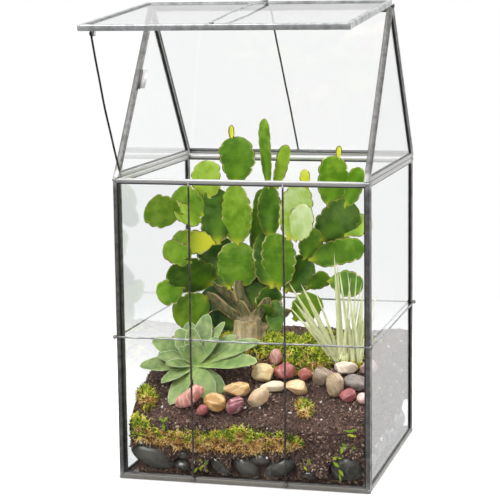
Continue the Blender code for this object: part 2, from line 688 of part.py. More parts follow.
def soil_block():
    """Closed block of soil from the stones to the ground's surface."""
    left, right = -INNER_HALF_WIDTH + BED_LEFT_GAP, INNER_HALF_WIDTH - PLAY
    front = -INNER_HALF_DEPTH + PLAY
    shape = bmesh.new()
    bmesh.ops.create_grid(shape, x_segments=SOIL_STEPS, y_segments=SOIL_STEPS, size=0.5)
    for vertex in shape.verts:
        vertex.co.x = (left + right) / 2 + vertex.co.x * (right - left)
        vertex.co.y *= -2 * front
        vertex.co.z = ground(vertex.co.x, vertex.co.y)
    grown = bmesh.ops.extrude_face_region(shape, geom=shape.faces[:])["geom"]
    for vertex in (part for part in grown if isinstance(part, bmesh.types.BMVert)):
        vertex.co.z = STONE_TOP + PLAY
    floor = [part for part in grown if isinstance(part, bmesh.types.BMFace)]
    bmesh.ops.dissolve_faces(shape, faces=floor)
    return from_bmesh("soil", shape)


def build_bed(soil_skin, moss_skin):
    """Moss and the soil that holds it, with plain holes for the roots."""
    left, right = -INNER_HALF_WIDTH + BED_LEFT_GAP, INNER_HALF_WIDTH - PLAY
    front = -INNER_HALF_DEPTH + PLAY
    cavity = box("cavity", (left - 2 * MM, front, PAN_DEPTH + PLAY), (right, -front, WALL_HEIGHT))
    band = cut(moss_band("moss_band", 0), [cavity], "INTERSECT")
    place(band, "moss_band", moss_skin, smooth=0.8)
    cutters = [moss_band("band_room", PLAY)]
    for name, (middle, spread, height, count, seed) in MOSS_PATCHES.items():
        patch = united(name, moss_patch(middle, spread, height, count, 0, seed))
        place(patch, name, moss_skin, smooth=0.8)
        cutters.append(united(name + "_room", moss_patch(middle, spread, height, count, PLAY, seed)))
    for (x, y), radius, depth in (
            (TRUNK_PLACE, TRUNK_ROOT_RADIUS + 2 * PLAY, TRUNK_ROOT_DEPTH + PLAY),
            (ROSETTE_PLACE, ROOT_RADIUS + PLAY, ROOT_DEPTH + PLAY),
            (AIR_PLANT_PLACE, ROOT_RADIUS + PLAY, ROOT_DEPTH + PLAY)):
        top = ground(x, y)
        cutters.append(rod("root_hole", (x, y, top - depth), (x, y, top + ROOT_HOLE_ABOVE), radius, 20))
    place(cut(soil_block(), cutters), "soil", soil_skin, smooth=0.8)


def build_pebbles():
    """River pebbles that rest on the soil, each lowered until it almost touches."""
    colours = {
        "pink": (0.62, 0.28, 0.25), "red_chip": (0.45, 0.08, 0.06), "orange": (0.5, 0.24, 0.12),
        "yellow": (0.62, 0.45, 0.22), "plum": (0.3, 0.12, 0.14), "sand": (0.66, 0.52, 0.36),
        "cream": (0.8, 0.74, 0.62), "tan": (0.56, 0.42, 0.28), "brick": (0.46, 0.12, 0.1),
        "peach": (0.72, 0.5, 0.36), "russet": (0.42, 0.12, 0.08), "umber": (0.26, 0.2, 0.16),
        "striped": (0.6, 0.48, 0.34), "shell": (0.76, 0.6, 0.54), "mauve": (0.4, 0.28, 0.32),
        "slate": (0.18, 0.16, 0.15), "scarlet": (0.5, 0.09, 0.07), "blush": (0.7, 0.48, 0.44),
        "bead": (0.7, 0.45, 0.42), "rose": (0.66, 0.36, 0.33),
    }
    for index, (name, (x, y, wide, deep, tall)) in enumerate(PEBBLES.items()):
        turn = 0.5 * math.sin(index * 2.4)
        stone = lump(name, (x * MM, y * MM, 0), (wide * MM, deep * MM, tall * MM), turn=turn)
        lift = max(ground(vertex.co.x, vertex.co.y) - vertex.co.z for vertex in stone.data.vertices)
        for vertex in stone.data.vertices:
            vertex.co.z += lift + 2 * PLAY
        place(stone, "pebble_" + name, make_material("pebble_" + name, colours[name], 0.45), smooth=1.2)


def pad_outline(length, width):
    """Crenate outline of a cactus pad: narrow at its foot, widest past the middle."""
    sides = []
    for step in range(PAD_STEPS + 1):
        share = step / PAD_STEPS
        body = (1 - abs(2 * share ** 1.12 - 1) ** 2.7) ** 0.5
        tooth = 1.04 if step % 2 else 0.93
        half = max(width / 2 * body * tooth, min(3.2 * MM, width * 0.28) * (1 - share))
        sides.append((half, share * (length + PAD_SINK) - PAD_SINK))
    right = [(half, along) for half, along in sides if half > 0.2 * MM]
    tip = (0, length)
    left = [(-half, along) for half, along in reversed(right)]
    return right + [tip] + left


def pad_axes(tilt, lean, twist):
    """Directions along and across a pad."""
    turn = Matrix.Rotation(math.radians(tilt), 3, "Y") @ Matrix.Rotation(math.radians(lean), 3, "X")
    along = turn @ UP
    across = turn @ Matrix.Rotation(math.radians(twist), 3, "Z") @ Vector((1, 0, 0))
    return along, across


def build_cactus(skin):
    """Woody trunk and its chains of flat crenate pads, in one body."""
    x, y = TRUNK_PLACE
    top = ground(x, y)
    stem = [(x, y, top - TRUNK_ROOT_DEPTH), (x, y, top + 2 * MM), (x + 2 * MM, y, top + 12 * MM),
            (x - 2 * MM, y - 2 * MM, top + 28 * MM), (x - 8 * MM, y - 2 * MM, top + 46 * MM),
            (x - 10 * MM, y, top + TRUNK_HEIGHT + 3 * MM)]
    trunk = tube("trunk", stem, TRUNK_ROOT_RADIUS, (1, 0.95, 0.72, 0.56, 0.42, 0.28), resolution=3)
    foot = Vector((x, y, top))
    lean = Vector((-10 * MM, 0, TRUNK_HEIGHT))
    grown = {"trunk": (foot, lean.normalized(), Vector((1, 0, 0)), lean.length, 26 * MM)}
    pieces = [trunk]
    for limb in LIMBS:
        pieces.append(tube("limb", [foot + Vector(point) * MM for point in limb], 4.5 * MM,
                           [1 - 0.12 * step for step in range(len(limb))]))
    for name, (parent, along_at, across_at, length, width, tilt, lean, twist) in PADS.items():
        start, along, across, parent_length, parent_width = grown[parent]
        base = start + along * parent_length * along_at + across * parent_width / 2 * across_at
        along, across = pad_axes(tilt, lean, twist)
        pad = plate(name, pad_outline(length * MM, width * MM), -PAD_DEPTH / 2, PAD_DEPTH / 2)
        pad.data.transform(facing(base, across, along))
        grown[name] = (base, along, across, length * MM, width * MM)
        pieces.append(pad)
    place(united("cactus", pieces), "cactus", skin)


def blade(name, base, heading, axis, rise, length, width, arch, depth, steps, widest, cup=0.0):
    """Pointed leaf from a grid with Solidify: it leaves a stem's axis at a heading and arches."""
    side_way = axis.orthogonal().normalized()
    if axis.cross(UP).length > 0.01:
        side_way = UP.cross(axis).normalized()
    flat = Matrix.Rotation(heading, 3, axis) @ side_way
    across = axis.cross(flat)
    shape = bmesh.new()
    bmesh.ops.create_grid(shape, x_segments=2 if cup else 1, y_segments=steps, size=0.5)
    rows = {}
    spot, angle = Vector(base), rise
    for step in range(steps + 1):
        rows[step] = (spot.copy(), angle)
        spot += (flat * math.cos(angle) + axis * math.sin(angle)) * length / steps
        angle += arch / steps
    for vertex in shape.verts:
        share = vertex.co.y + 0.5
        spot, angle = rows[round(share * steps)]
        swell = (1 - abs(share - widest) / max(widest, 1 - widest)) ** 0.6 if share < 1 else 0
        half = width / 2 * max(swell, 0.14)
        side = 2 * vertex.co.x
        normal = axis * math.cos(angle) - flat * math.sin(angle)
        vertex.co = spot + across * half * side + normal * cup * half * side ** 2
    obj = from_bmesh(name, shape)
    wall = obj.modifiers.new("wall", "SOLIDIFY")
    wall.thickness = depth
    wall.offset = 0
    baked(obj)
    shape = bmesh.new()
    shape.from_mesh(obj.data)
    bmesh.ops.recalc_face_normals(shape, faces=shape.faces)
    bmesh.ops.triangulate(shape, faces=shape.faces)
    shape.to_mesh(obj.data)
    shape.free()
    return obj


def build_rosette(skin):
    """Rosette succulent that leans to the front: layers of pointed leaves round a short stem."""
    x, y = ROSETTE_PLACE
    top = ground(x, y)
    axis = Vector((0, -math.sin(ROSETTE_TILT), math.cos(ROSETTE_TILT)))
    heart = Vector((x, y - 8 * MM, top + ROSETTE_HEIGHT))
    stem = [(x, y, top - ROOT_DEPTH), (x, y, top + 3 * MM), (x, y - 3 * MM, top + 14 * MM), heart]
    pieces = [tube("stem", stem, ROOT_RADIUS), lump("heart", heart, (8 * MM, 8 * MM, 8 * MM))]
    for count, length, width, rise, arch, start in ROSETTE_LAYERS:
        for index in range(count):
            heading = start + math.tau * index / count
            reach = 1 + 0.05 * math.sin(index * 2.7 + count) + 0.28 * max(0, math.cos(heading))
            steep = math.radians(rise + 5 * math.sin(index * 1.9))
            pieces.append(blade("leaf", heart, heading, axis, steep, length * reach * MM, width * MM,
                                math.radians(arch), 1.6 * MM, steps=4, widest=0.55, cup=0.25))
    place(united("rosette", pieces), "rosette", skin)


def build_air_plant(skin):
    """Air plant: a tuft of narrow leaves that fan upwards."""
    x, y = AIR_PLANT_PLACE
    top = ground(x, y)
    core = Vector((x, y, top + 6 * MM))
    pieces = [rod("foot", (x, y, top - ROOT_DEPTH), core, ROOT_RADIUS, 12),
              lump("heart", core, (7 * MM, 7 * MM, 6 * MM))]
    for heading, length, rise, arch in AIR_LEAVES:
        pieces.append(blade("leaf", core, math.radians(heading), UP, math.radians(rise), length * MM,
                            AIR_LEAF_WIDTH, math.radians(-arch), 1.3 * MM, steps=5, widest=0.12))
    place(united("air_plant", pieces), "air_plant", skin)


def build():
    """Make every material and piece."""
    metal = make_material("aged_came", (0.42, 0.41, 0.39), 0.42, 0.9)
    dark_metal = make_material("dark_wire", (0.05, 0.045, 0.04), 0.5, 0.7)
    glass = make_material("clear_glass", (0.93, 0.96, 0.97), 0.03, 0.0, 1.0)
    build_walls(metal, glass)
    build_roof(metal, glass)
    build_prop(dark_metal)
    build_trim(metal, dark_metal)
    build_stones(make_material("black_stone", (0.03, 0.03, 0.035), 0.25))
    soil_skin = make_material("soil", (0.07, 0.045, 0.03), 0.95)
    build_bed(soil_skin, make_material("moss", (0.3, 0.3, 0.08), 0.95))
    build_pebbles()
    build_cactus(make_material("pad_green", (0.24, 0.36, 0.14), 0.55))
    build_rosette(make_material("rosette_green", (0.42, 0.52, 0.36), 0.55))
    build_air_plant(make_material("air_plant_green", (0.62, 0.64, 0.42), 0.7))


clear_scene()
PARTS = bpy.data.collections.new("geometric_glass_terrarium")
CUTTERS = bpy.data.collections.new("cutters")
WORK = bpy.data.collections.new("work")
for collection in (PARTS, CUTTERS, WORK):
    bpy.context.scene.collection.children.link(collection)
build()
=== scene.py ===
"""Looks for a planted glass terrarium with a gabled roof and a propped lid.

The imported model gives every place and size. This script dresses it: aged came with soldered
mitres, clear panes, a pad cactus, a rosette, an air plant, moss, river pebbles, soil with
perlite and polished drainage stones, softly lit on a pale floor.
"""
from __future__ import annotations

import json
import logging
import random
from dataclasses import dataclass
from enum import Enum
from math import atan2, copysign, cos, exp, hypot, pi, radians, sin, sqrt, tau

import bmesh
import bpy
from mathutils import Matrix, Vector, noise

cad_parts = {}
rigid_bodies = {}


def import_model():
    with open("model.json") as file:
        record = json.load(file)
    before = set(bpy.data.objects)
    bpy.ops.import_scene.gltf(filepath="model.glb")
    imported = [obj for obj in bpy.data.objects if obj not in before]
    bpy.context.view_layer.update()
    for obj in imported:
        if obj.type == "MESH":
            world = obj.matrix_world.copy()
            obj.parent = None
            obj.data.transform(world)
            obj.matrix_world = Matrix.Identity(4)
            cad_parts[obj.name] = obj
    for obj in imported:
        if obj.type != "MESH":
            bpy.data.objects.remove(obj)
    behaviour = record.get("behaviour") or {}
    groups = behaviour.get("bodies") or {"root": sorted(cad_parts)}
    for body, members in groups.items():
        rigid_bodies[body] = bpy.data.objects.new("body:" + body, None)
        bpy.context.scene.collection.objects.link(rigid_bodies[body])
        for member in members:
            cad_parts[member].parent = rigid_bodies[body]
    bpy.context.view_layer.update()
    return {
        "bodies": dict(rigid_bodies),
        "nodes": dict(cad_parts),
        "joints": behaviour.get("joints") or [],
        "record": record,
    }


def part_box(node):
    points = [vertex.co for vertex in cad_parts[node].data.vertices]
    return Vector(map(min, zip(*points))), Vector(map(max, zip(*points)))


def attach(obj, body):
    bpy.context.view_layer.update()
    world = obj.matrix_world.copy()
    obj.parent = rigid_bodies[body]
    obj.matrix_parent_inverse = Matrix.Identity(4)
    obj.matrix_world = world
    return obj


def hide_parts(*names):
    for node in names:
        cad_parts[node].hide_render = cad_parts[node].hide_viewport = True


LOG = logging.getLogger("terrarium")
MM = 0.001
UP = Vector((0, 0, 1))
GOLDEN_ANGLE = radians(137.5)

Colour = tuple[float, float, float]
Socket = bpy.types.NodeSocket
Thing = bpy.types.Object


class Body(Enum):
    """Bodies that pieces ride on."""

    CASE = "case"
    LID = "lid"
    PROP = "prop"


class Channel(Enum):
    """Values per point that the finishes read."""

    SEAM = "seam"
    SOLDER = "solder"
    RIM = "rim"
    SIDE = "side"
    ALONG = "along"
    TONE = "tone"
    YELLOW = "yellow"
    LOOSE = "loose"
    TINT = "tint"


LEAF_CHANNELS = (Channel.RIM, Channel.SIDE, Channel.ALONG, Channel.TONE, Channel.TINT)


# Meshes


def smooth_step(value: float) -> float:
    """Ease a share, clipped to 0 and 1."""
    value = min(max(value, 0.0), 1.0)
    return value * value * (3 - 2 * value)


def turns(sides: int) -> list[float]:
    """Equal turns round a circle."""
    return [tau * side / sides for side in range(sides)]


def shares(steps: int) -> list[float]:
    """Equal steps from 0 to 1."""
    return [step / steps for step in range(steps + 1)]


def waver(place: Vector, size: float, seed: float = 0.0) -> float:
    """Smooth noise between about -1 and 1, with bumps of a size in metres."""
    return noise.noise(place / size + Vector((seed, -seed, 2 * seed)))


def curve(points: list[Vector], steps: int) -> list[Vector]:
    """Smooth curve through a list of points.

    Args:
        points: Points that the curve passes.
        steps: Number of equal steps along the list.

    Returns:
        Points of a Catmull-Rom curve, one more than the steps.
    """
    spans = len(points) - 1
    path = []
    for step in range(steps + 1):
        place = step / steps * spans
        index = min(int(place), spans - 1)
        t = place - index
        first, second = points[index], points[index + 1]
        pull = (second - points[max(index - 1, 0)]) * 0.5
        push = (points[min(index + 2, spans)] - first) * 0.5
        path.append(first * (2 * t ** 3 - 3 * t ** 2 + 1) + pull * (t ** 3 - 2 * t ** 2 + t)
                    + second * (3 * t ** 2 - 2 * t ** 3) + push * (t ** 3 - t ** 2))
    return path


def show(name: str, data: bpy.types.ID) -> Thing:
    """Put a new object for a mesh, a lamp or a camera in the scene.

    Args:
        name: Its name.
        data: What it shows.

    Returns:
        The object.
    """
    obj = bpy.data.objects.new(name, data)
    bpy.context.scene.collection.objects.link(obj)
    return obj


def put_away(*things: Thing) -> None:
    """Delete objects."""
    for thing in things:
        bpy.data.objects.remove(thing, do_unlink=True)


def finish_piece(obj: Thing, finish: Finish | None, slot: str, *nodes: str, body: Body = Body.CASE) -> None:
    """Dress a piece, put it on its body and let it stand for its nodes.

    Args:
        obj: The piece.
        finish: Its finish, or None if it has one.
        slot: The record's material slot; not used.
        nodes: Nodes that it replaces.
        body: What it rides on.
    """
    if finish is not None:
        finish.dress(obj)
    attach(obj, body.value)
    if nodes:
        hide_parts(*nodes)
    triangles = sum(len(face.vertices) - 2 for face in obj.data.polygons)
    LOG.info("%s: %d triangles on %s", obj.name, triangles, body.value)


class Draft:
    """Points, faces and values per point, gathered for one mesh."""

    def __init__(self, *channels: Channel) -> None:
        """Start an empty draft.

        Args:
            channels: The values that each point will hold.
        """
        self.points: list[Vector] = []
        self.faces: list[tuple[int, ...]] = []
        self.values: dict[str, list[float]] = {channel.value: [] for channel in channels}

    def point(self, place: Vector, **values: float) -> int:
        """Add a point.

        Args:
            place: Where it is.
            values: Its values by channel name; a channel left out gets 0.

        Returns:
            The point's index.
        """
        self.points.append(place)
        for name, held in self.values.items():
            held.append(values.get(name, 0.0))
        return len(self.points) - 1

    def skin(self, rows: list[list[int]], loops: bool = True, around: bool = False) -> None:
        """Join rows of points one after another with quads.

        Args:
            rows: Rows of the same length.
            loops: Whether each row is a loop.
            around: Whether the last row joins the first.
        """
        for first, second in zip(rows, rows[1:] + (rows[:1] if around else [])):
            count = len(first)
            for index in range(count if loops else count - 1):
                after = (index + 1) % count
                self.faces.append((first[index], first[after], second[after], second[index]))

    def loft(self, rows: list[list[int]]) -> None:
        """Join loops one after another and close both ends."""
        self.skin(rows)
        self.faces += [tuple(reversed(rows[0])), tuple(rows[-1])]

    def build(self, name: str, smooth: bool = True) -> Thing:
        """Turn the draft into an object with outward faces.

        Args:
            name: The piece's name.
            smooth: Whether to shade it smooth.

        Returns:
            The new object.
        """
        mesh = bpy.data.meshes.new(name)
        mesh.from_pydata(self.points, [], self.faces)
        for channel, held in self.values.items():
            mesh.attributes.new(channel, "FLOAT", "POINT").data.foreach_set("value", held)
        shape = bmesh.new()
        shape.from_mesh(mesh)
        bmesh.ops.recalc_face_normals(shape, faces=shape.faces)
        shape.to_mesh(mesh)
        shape.free()
        if smooth:
            mesh.shade_smooth()
        return show(name, mesh)

    def piece(self, name: str, finish: Finish, slot: str, *nodes: str, body: Body = Body.CASE) -> None:
        """Build the draft as a finished piece."""
        finish_piece(self.build(name), finish, slot, *nodes, body=body)


def sweep(draft: Draft, path: list[Vector], radii: list[float] | float, sides: int, flat: float = 1.0,
          ridges: float = 0.0, facing: Vector | None = None, **values: float) -> None:
    """Sweep a round or flattened section along a path into a draft.

    Args:
        draft: Where the points and faces go.
        path: Centres of the sections.
        radii: Radius at each centre, or one for all.
        sides: Points round each section.
        flat: Depth of the section as a share of its width.
        ridges: Height of uneven ridges as a share of the radius.
        facing: Direction that a flattened section shows its width to.
        values: Channel values of all its points.
    """
    rows, across, last = [], None, len(path) - 1
    for index, centre in enumerate(path):
        ahead = (path[min(index + 1, last)] - path[max(index - 1, 0)]).normalized()
        if across is None:
            across = (facing.cross(ahead) if facing else ahead.orthogonal()).normalized()
        across = (across - ahead * across.dot(ahead)).normalized()
        other = ahead.cross(across)
        row = []
        for angle in turns(sides):
            radius = radii if isinstance(radii, float) else radii[index]
            if ridges:
                spot = Vector((cos(angle), sin(angle), index * 0.12))
                radius *= 1 + ridges * waver(spot, 0.35) + ridges * cos(5 * angle + index * 0.3)
            offset = across * cos(angle) * radius + other * sin(angle) * radius * flat
            row.append(draft.point(centre + offset, along=index / last, side=abs(cos(angle)), **values))
        rows.append(row)
    draft.loft(rows)


def inset(outline: list[Vector], widths: list[float]) -> list[Vector]:
    """Move each side of a convex outline inwards by its own width.

    Args:
        outline: Corners, listed anticlockwise.
        widths: One width for each side, the first for the side after the first corner.

    Returns:
        The new corners.
    """
    moved = []
    for index, here in enumerate(outline):
        before = (here - outline[index - 1]).normalized()
        after = (outline[(index + 1) % len(outline)] - here).normalized()
        first, second = Vector((-before.y, before.x)), Vector((-after.y, after.x))
        shared = first.dot(second)
        near, far = widths[index - 1], widths[index]
        step = (first * (near - far * shared) + second * (far - near * shared)) / (1 - shared ** 2)
        moved.append(here + step)
    return moved


def rectangle(width: float, height: float, low: float = 0.0) -> list[Vector]:
    """Corners of a rectangle that stands on a height."""
    half, high = width / 2, low + height
    return [Vector(corner) for corner in ((-half, low), (half, low), (half, high), (-half, high))]


def facing(place: tuple | Vector, across: tuple | Vector, upward: Vector = UP) -> Matrix:
    """Matrix that lays a flat outline's X and Y along two directions.

    Args:
        place: Where the outline's origin goes.
        across: Direction of its X.
        upward: Direction of its Y.

    Returns:
        The matrix, with Z facing out.
    """
    first, second = Vector(across), Vector(upward)
    turn = Matrix((first, second, first.cross(second))).transposed()
    return Matrix.Translation(place) @ turn.to_4x4()


def pebble_shape(name: str, centre: Vector, radii: Vector, turn: float, seed: float, rough: float,
                 fineness: int = 4, tilt: float = 0.0, facets: int = 0) -> Thing:
    """Water-smoothed stone: an uneven ellipsoid turned about the vertical.

    Args:
        name: The piece's name.
        centre: Its middle.
        radii: Half its width, depth and height.
        turn: Turn about the vertical in radians.
        seed: Which stone of its kind.
        rough: How uneven it is, as a share of its size.
        fineness: Subdivisions of the ball that it starts from.
        tilt: Turn about the depth axis in radians.
        facets: Number of flat places rubbed down.

    Returns:
        The stone.
    """
    rng = random.Random(int(seed * 10))
    flats = [(Vector([rng.uniform(-1, 1) for _ in range(3)]).normalized(), rng.uniform(0.68, 0.86))
             for _ in range(facets)]
    shape = bmesh.new()
    bmesh.ops.create_icosphere(shape, subdivisions=fineness, radius=1)
    spin = Matrix.Rotation(turn, 3, "Z") @ Matrix.Rotation(tilt, 3, "Y")
    for vertex in shape.verts:
        swell = 1 + rough * waver(vertex.co, 0.9, seed) + 0.35 * rough * waver(vertex.co, 0.35, seed)
        for way, reach in flats:
            over = vertex.co.dot(way) - reach
            if over > 0:
                vertex.co -= way * over * 0.85
        vertex.co = centre + spin @ (vertex.co * radii * swell)
    mesh = bpy.data.meshes.new(name)
    shape.to_mesh(mesh)
    shape.free()
    mesh.shade_smooth()
    return show(name, mesh)


def join(name: str, pieces: list[Thing]) -> Thing:
    """Put several meshes in one object.

    Args:
        name: Name of the joined piece.
        pieces: Objects to join; all but the first are removed.

    Returns:
        The joined piece.
    """
    with bpy.context.temp_override(active_object=pieces[0], selected_editable_objects=pieces):
        bpy.ops.object.join()
    pieces[0].name = pieces[0].data.name = name
    return pieces[0]


# Node graphs


class Graph:
    """Adds and links the nodes of one tree."""

    def __init__(self, tree: bpy.types.NodeTree) -> None:
        """Work on a tree."""
        self.tree = tree

    def feed(self, socket: Socket, value: object) -> None:
        """Link a socket to an output, or set its value.

        Args:
            socket: The input.
            value: An output socket, a number or a colour.
        """
        if isinstance(value, bpy.types.NodeSocket):
            self.tree.links.new(value, socket)
        else:
            socket.default_value = (*value, 1) if socket.type == "RGBA" else value

    def add(self, kind: str, inputs: dict, output: int | str = 0, **settings: object) -> Socket:
        """Add a node.

        Args:
            kind: The node's type.
            inputs: Values or output sockets by input name or place.
            output: Name or place of the output that is wanted.
            settings: The node's own settings.

        Returns:
            That output.
        """
        node = self.tree.nodes.new(kind)
        for name, value in settings.items():
            setattr(node, name, value)
        for name, value in inputs.items():
            self.feed(node.inputs[name], value)
        return node.outputs[output]

    def math(self, operation: str, first: object, second: object = 0.0) -> Socket:
        """Result of a Math node on two values."""
        return self.add("ShaderNodeMath", {0: first, 1: second}, operation=operation)

    def times(self, first: object, second: object) -> Socket:
        """Product of two values."""
        return self.math("MULTIPLY", first, second)

    def span(self, value: object, low: object, high: object, start: float = 0.0, end: float = 1.0) -> Socket:
        """Map a value smoothly from two limits to a start and an end."""
        return self.add("ShaderNodeMapRange", {
            "Value": value, "From Min": low, "From Max": high, "To Min": start, "To Max": end,
        }, "Result", interpolation_type="SMOOTHSTEP")

    def light_path(self, kind: str) -> Socket:
        """What the Light Path node tells of a ray."""
        return self.add("ShaderNodeLightPath", {}, kind)

    def mirrored(self) -> Socket:
        """1 for a ray that some glossy surface reflected, and 0 for any other."""
        return self.math("MINIMUM", self.light_path("Glossy Depth"), 1.0)


class Effect(Enum):
    """Shader node groups that several finishes share, with the inputs that follow their places."""

    MOTTLE = ("mottle", "Scale", "Detail", "Low", "High")
    GRAIN = ("grain", "Scale", "Strength", "Distance")
    SPECKLE = ("speckle", "Scale", "Size", "Share")
    BORDER = ("border", "Rim", "Edge", "Ragged")

    def tree(self) -> bpy.types.NodeTree:
        """Find the group, or build it the first time that it is wanted.

        Returns:
            The group's tree.
        """
        label, *names = self.value
        found = bpy.data.node_groups.get(label)
        if found:
            return found
        tree = bpy.data.node_groups.new(label, "ShaderNodeTree")
        tree.interface.new_socket(name="Vector", in_out="INPUT", socket_type="NodeSocketVector")
        for name in names:
            tree.interface.new_socket(name=name, in_out="INPUT", socket_type="NodeSocketFloat")
        kind = "NodeSocketVector" if self is Effect.GRAIN else "NodeSocketFloat"
        tree.interface.new_socket(name="Result", in_out="OUTPUT", socket_type=kind)
        given = tree.nodes.new("NodeGroupInput").outputs
        graph = Graph(tree)
        graph.feed(tree.nodes.new("NodeGroupOutput").inputs[0], self.result(graph, given))
        return tree

    def result(self, graph: Graph, given: dict) -> Socket:
        """Cloudy mask, fine bumps as a normal, spots in some cells, or the mask of a ragged border.

        Args:
            graph: The group's graph.
            given: The group's inputs.

        Returns:
            What the group puts out.
        """
        scaled = {"Vector": given["Vector"], "Scale": given[1]}
        if self is Effect.MOTTLE:
            cloud = graph.add("ShaderNodeTexNoise", {
                **scaled, "Detail": given["Detail"], "Roughness": 0.6}, "Fac")
            return graph.span(cloud, given["Low"], given["High"])
        if self is Effect.GRAIN:
            fine = graph.add("ShaderNodeTexNoise", {**scaled, "Detail": 5.0, "Roughness": 0.65}, "Fac")
            return graph.add("ShaderNodeBump", {
                "Strength": given["Strength"], "Distance": given["Distance"], "Height": fine}, "Normal")
        if self is Effect.SPECKLE:
            distance = graph.add("ShaderNodeTexVoronoi", scaled, "Distance")
            draw = graph.add("ShaderNodeSeparateColor", {"Color": distance.node.outputs["Color"]}, "Red")
            chosen = graph.math("LESS_THAN", draw, given["Share"])
            return graph.times(chosen, graph.span(distance, given["Size"], 0.0))
        uneven = graph.add("ShaderNodeTexNoise", {
            "Vector": given["Vector"], "Scale": 320.0, "Detail": 2.0}, "Fac")
        shift = graph.times(graph.math("SUBTRACT", uneven, 0.5), given["Ragged"])
        start = graph.math("ADD", given["Edge"], shift)
        return graph.span(given["Rim"], start, graph.math("ADD", start, 0.12))


class Coat(Graph):
    """One material, built up in layers over the surface's own places."""

    def __init__(self, material: bpy.types.Material) -> None:
        """Start on a new material.

        Args:
            material: The material, with its own Principled shader.
        """
        super().__init__(material.node_tree)
        self.shader = material.node_tree.nodes["Principled BSDF"].inputs
        self.places = self.add("ShaderNodeTexCoord", {}, "Object")
        self.colour: Socket | Colour = (1.0, 1.0, 1.0)

    def height(self) -> Socket:
        """Height of the surface."""
        return self.add("ShaderNodeSeparateXYZ", {"Vector": self.places}, "Z")

    def value(self, channel: Channel) -> Socket:
        """Value per point of one channel."""
        return self.add("ShaderNodeAttribute", {}, "Fac", attribute_name=channel.value)

    def effect(self, effect: Effect, *values: object, places: Socket | None = None) -> Socket:
        """Shared group with its own values.

        Args:
            effect: Which group.
            values: Its inputs after the places, in order.
            places: Places to use instead of the surface's own.

        Returns:
            The group's output.
        """
        inputs = {"Vector": places or self.places, **dict(zip(effect.value[1:], values))}
        node = self.tree.nodes.new("ShaderNodeGroup")
        node.node_tree = effect.tree()
        for name, value in inputs.items():
            self.feed(node.inputs[name], value)
        return node.outputs[0]

    def mottle(self, *values: float, places: Socket | None = None) -> Socket:
        """Cloudy mask of a scale, detail, low and high limit, for patina, blush and stains."""
        return self.effect(Effect.MOTTLE, *values, places=places)

    def border(self, edge: float, ragged: float) -> Socket:
        """Ragged mask along the rims of pads and leaves."""
        return self.effect(Effect.BORDER, self.value(Channel.RIM), edge, ragged)

    def mix(self, factor: object, first: object, second: object) -> Socket:
        """Mix two colours."""
        return self.add("ShaderNodeMix", {0: factor, 6: first, 7: second}, 2,
                        data_type="RGBA", blend_type="MIX")

    def ramp(self, factor: object, *stops: tuple[float, Colour]) -> Socket:
        """Colour ramp over a factor.

        Args:
            factor: Where on the ramp.
            stops: Places from 0 to 1 with their colours.

        Returns:
            The colour.
        """
        output = self.add("ShaderNodeValToRGB", {"Fac": factor}, "Color")
        elements = output.node.color_ramp.elements
        while len(elements) < len(stops):
            elements.new(0.5)
        for element, (place, colour) in zip(elements, stops):
            element.position, element.color = place, (*colour, 1)
        return output

    def layer(self, mask: Socket, colour: object, share: float | None = None) -> None:
        """Lay a colour over what is there, where a mask says and by a share of it."""
        self.colour = self.mix(mask if share is None else self.times(mask, share), self.colour, colour)

    def settle(self, mask: Socket, start: float, end: float, grain: tuple = (), **values: object) -> None:
        """Feed the colour, the roughness and the fine bumps to the shader.

        Args:
            mask: What the roughness follows.
            start: Roughness where the mask is 0.
            end: Roughness where it is 1.
            grain: Scale, strength and distance of the bumps, if it has any.
            values: The shader's own values.
        """
        self.feed(self.shader["Base Color"], self.colour)
        self.feed(self.shader["Roughness"], self.span(mask, 0.0, 1.0, start, end))
        if grain:
            self.feed(self.shader["Normal"], self.effect(Effect.GRAIN, *grain))
        self.set_own(**values)

    def set_own(self, **values: object) -> None:
        """Set the shader's own values by socket name, with an underscore for a space."""
        for name, value in values.items():
            self.shader[name.replace("_", " ")].default_value = value

    def let_through(self, share: Socket, tint: Colour = (1.0, 1.0, 1.0)) -> None:
        """Let light straight through the surface.

        Args:
            share: How much of it goes through.
            tint: Its colour behind the surface.
        """
        clear = self.add("ShaderNodeBsdfTransparent", {"Color": tint})
        shader = self.tree.nodes["Principled BSDF"].outputs["BSDF"]
        both = self.add("ShaderNodeMixShader", {0: share, 1: shader, 2: clear})
        self.feed(self.tree.nodes["Material Output"].inputs["Surface"], both)


# Finishes


@dataclass(frozen=True)
class Finish:
    """A surface finish that makes its own material once."""

    name: str

    def material(self) -> bpy.types.Material:
        """Find the material, or make it the first time that it is wanted.

        Returns:
            The material.
        """
        label = self.name + "_finish"
        material = bpy.data.materials.get(label)
        if material is None:
            material = bpy.data.materials.new(label)
            material.use_nodes = True
            self.paint(Coat(material))
        return material

    def paint(self, coat: Coat) -> None:
        """Set up the shader. Each finish has its own.

        Args:
            coat: The new material, plain as yet.
        """
        raise NotImplementedError

    def dress(self, obj: Thing) -> None:
        """Give an object this finish alone."""
        obj.data.materials.clear()
        obj.data.materials.append(self.material())


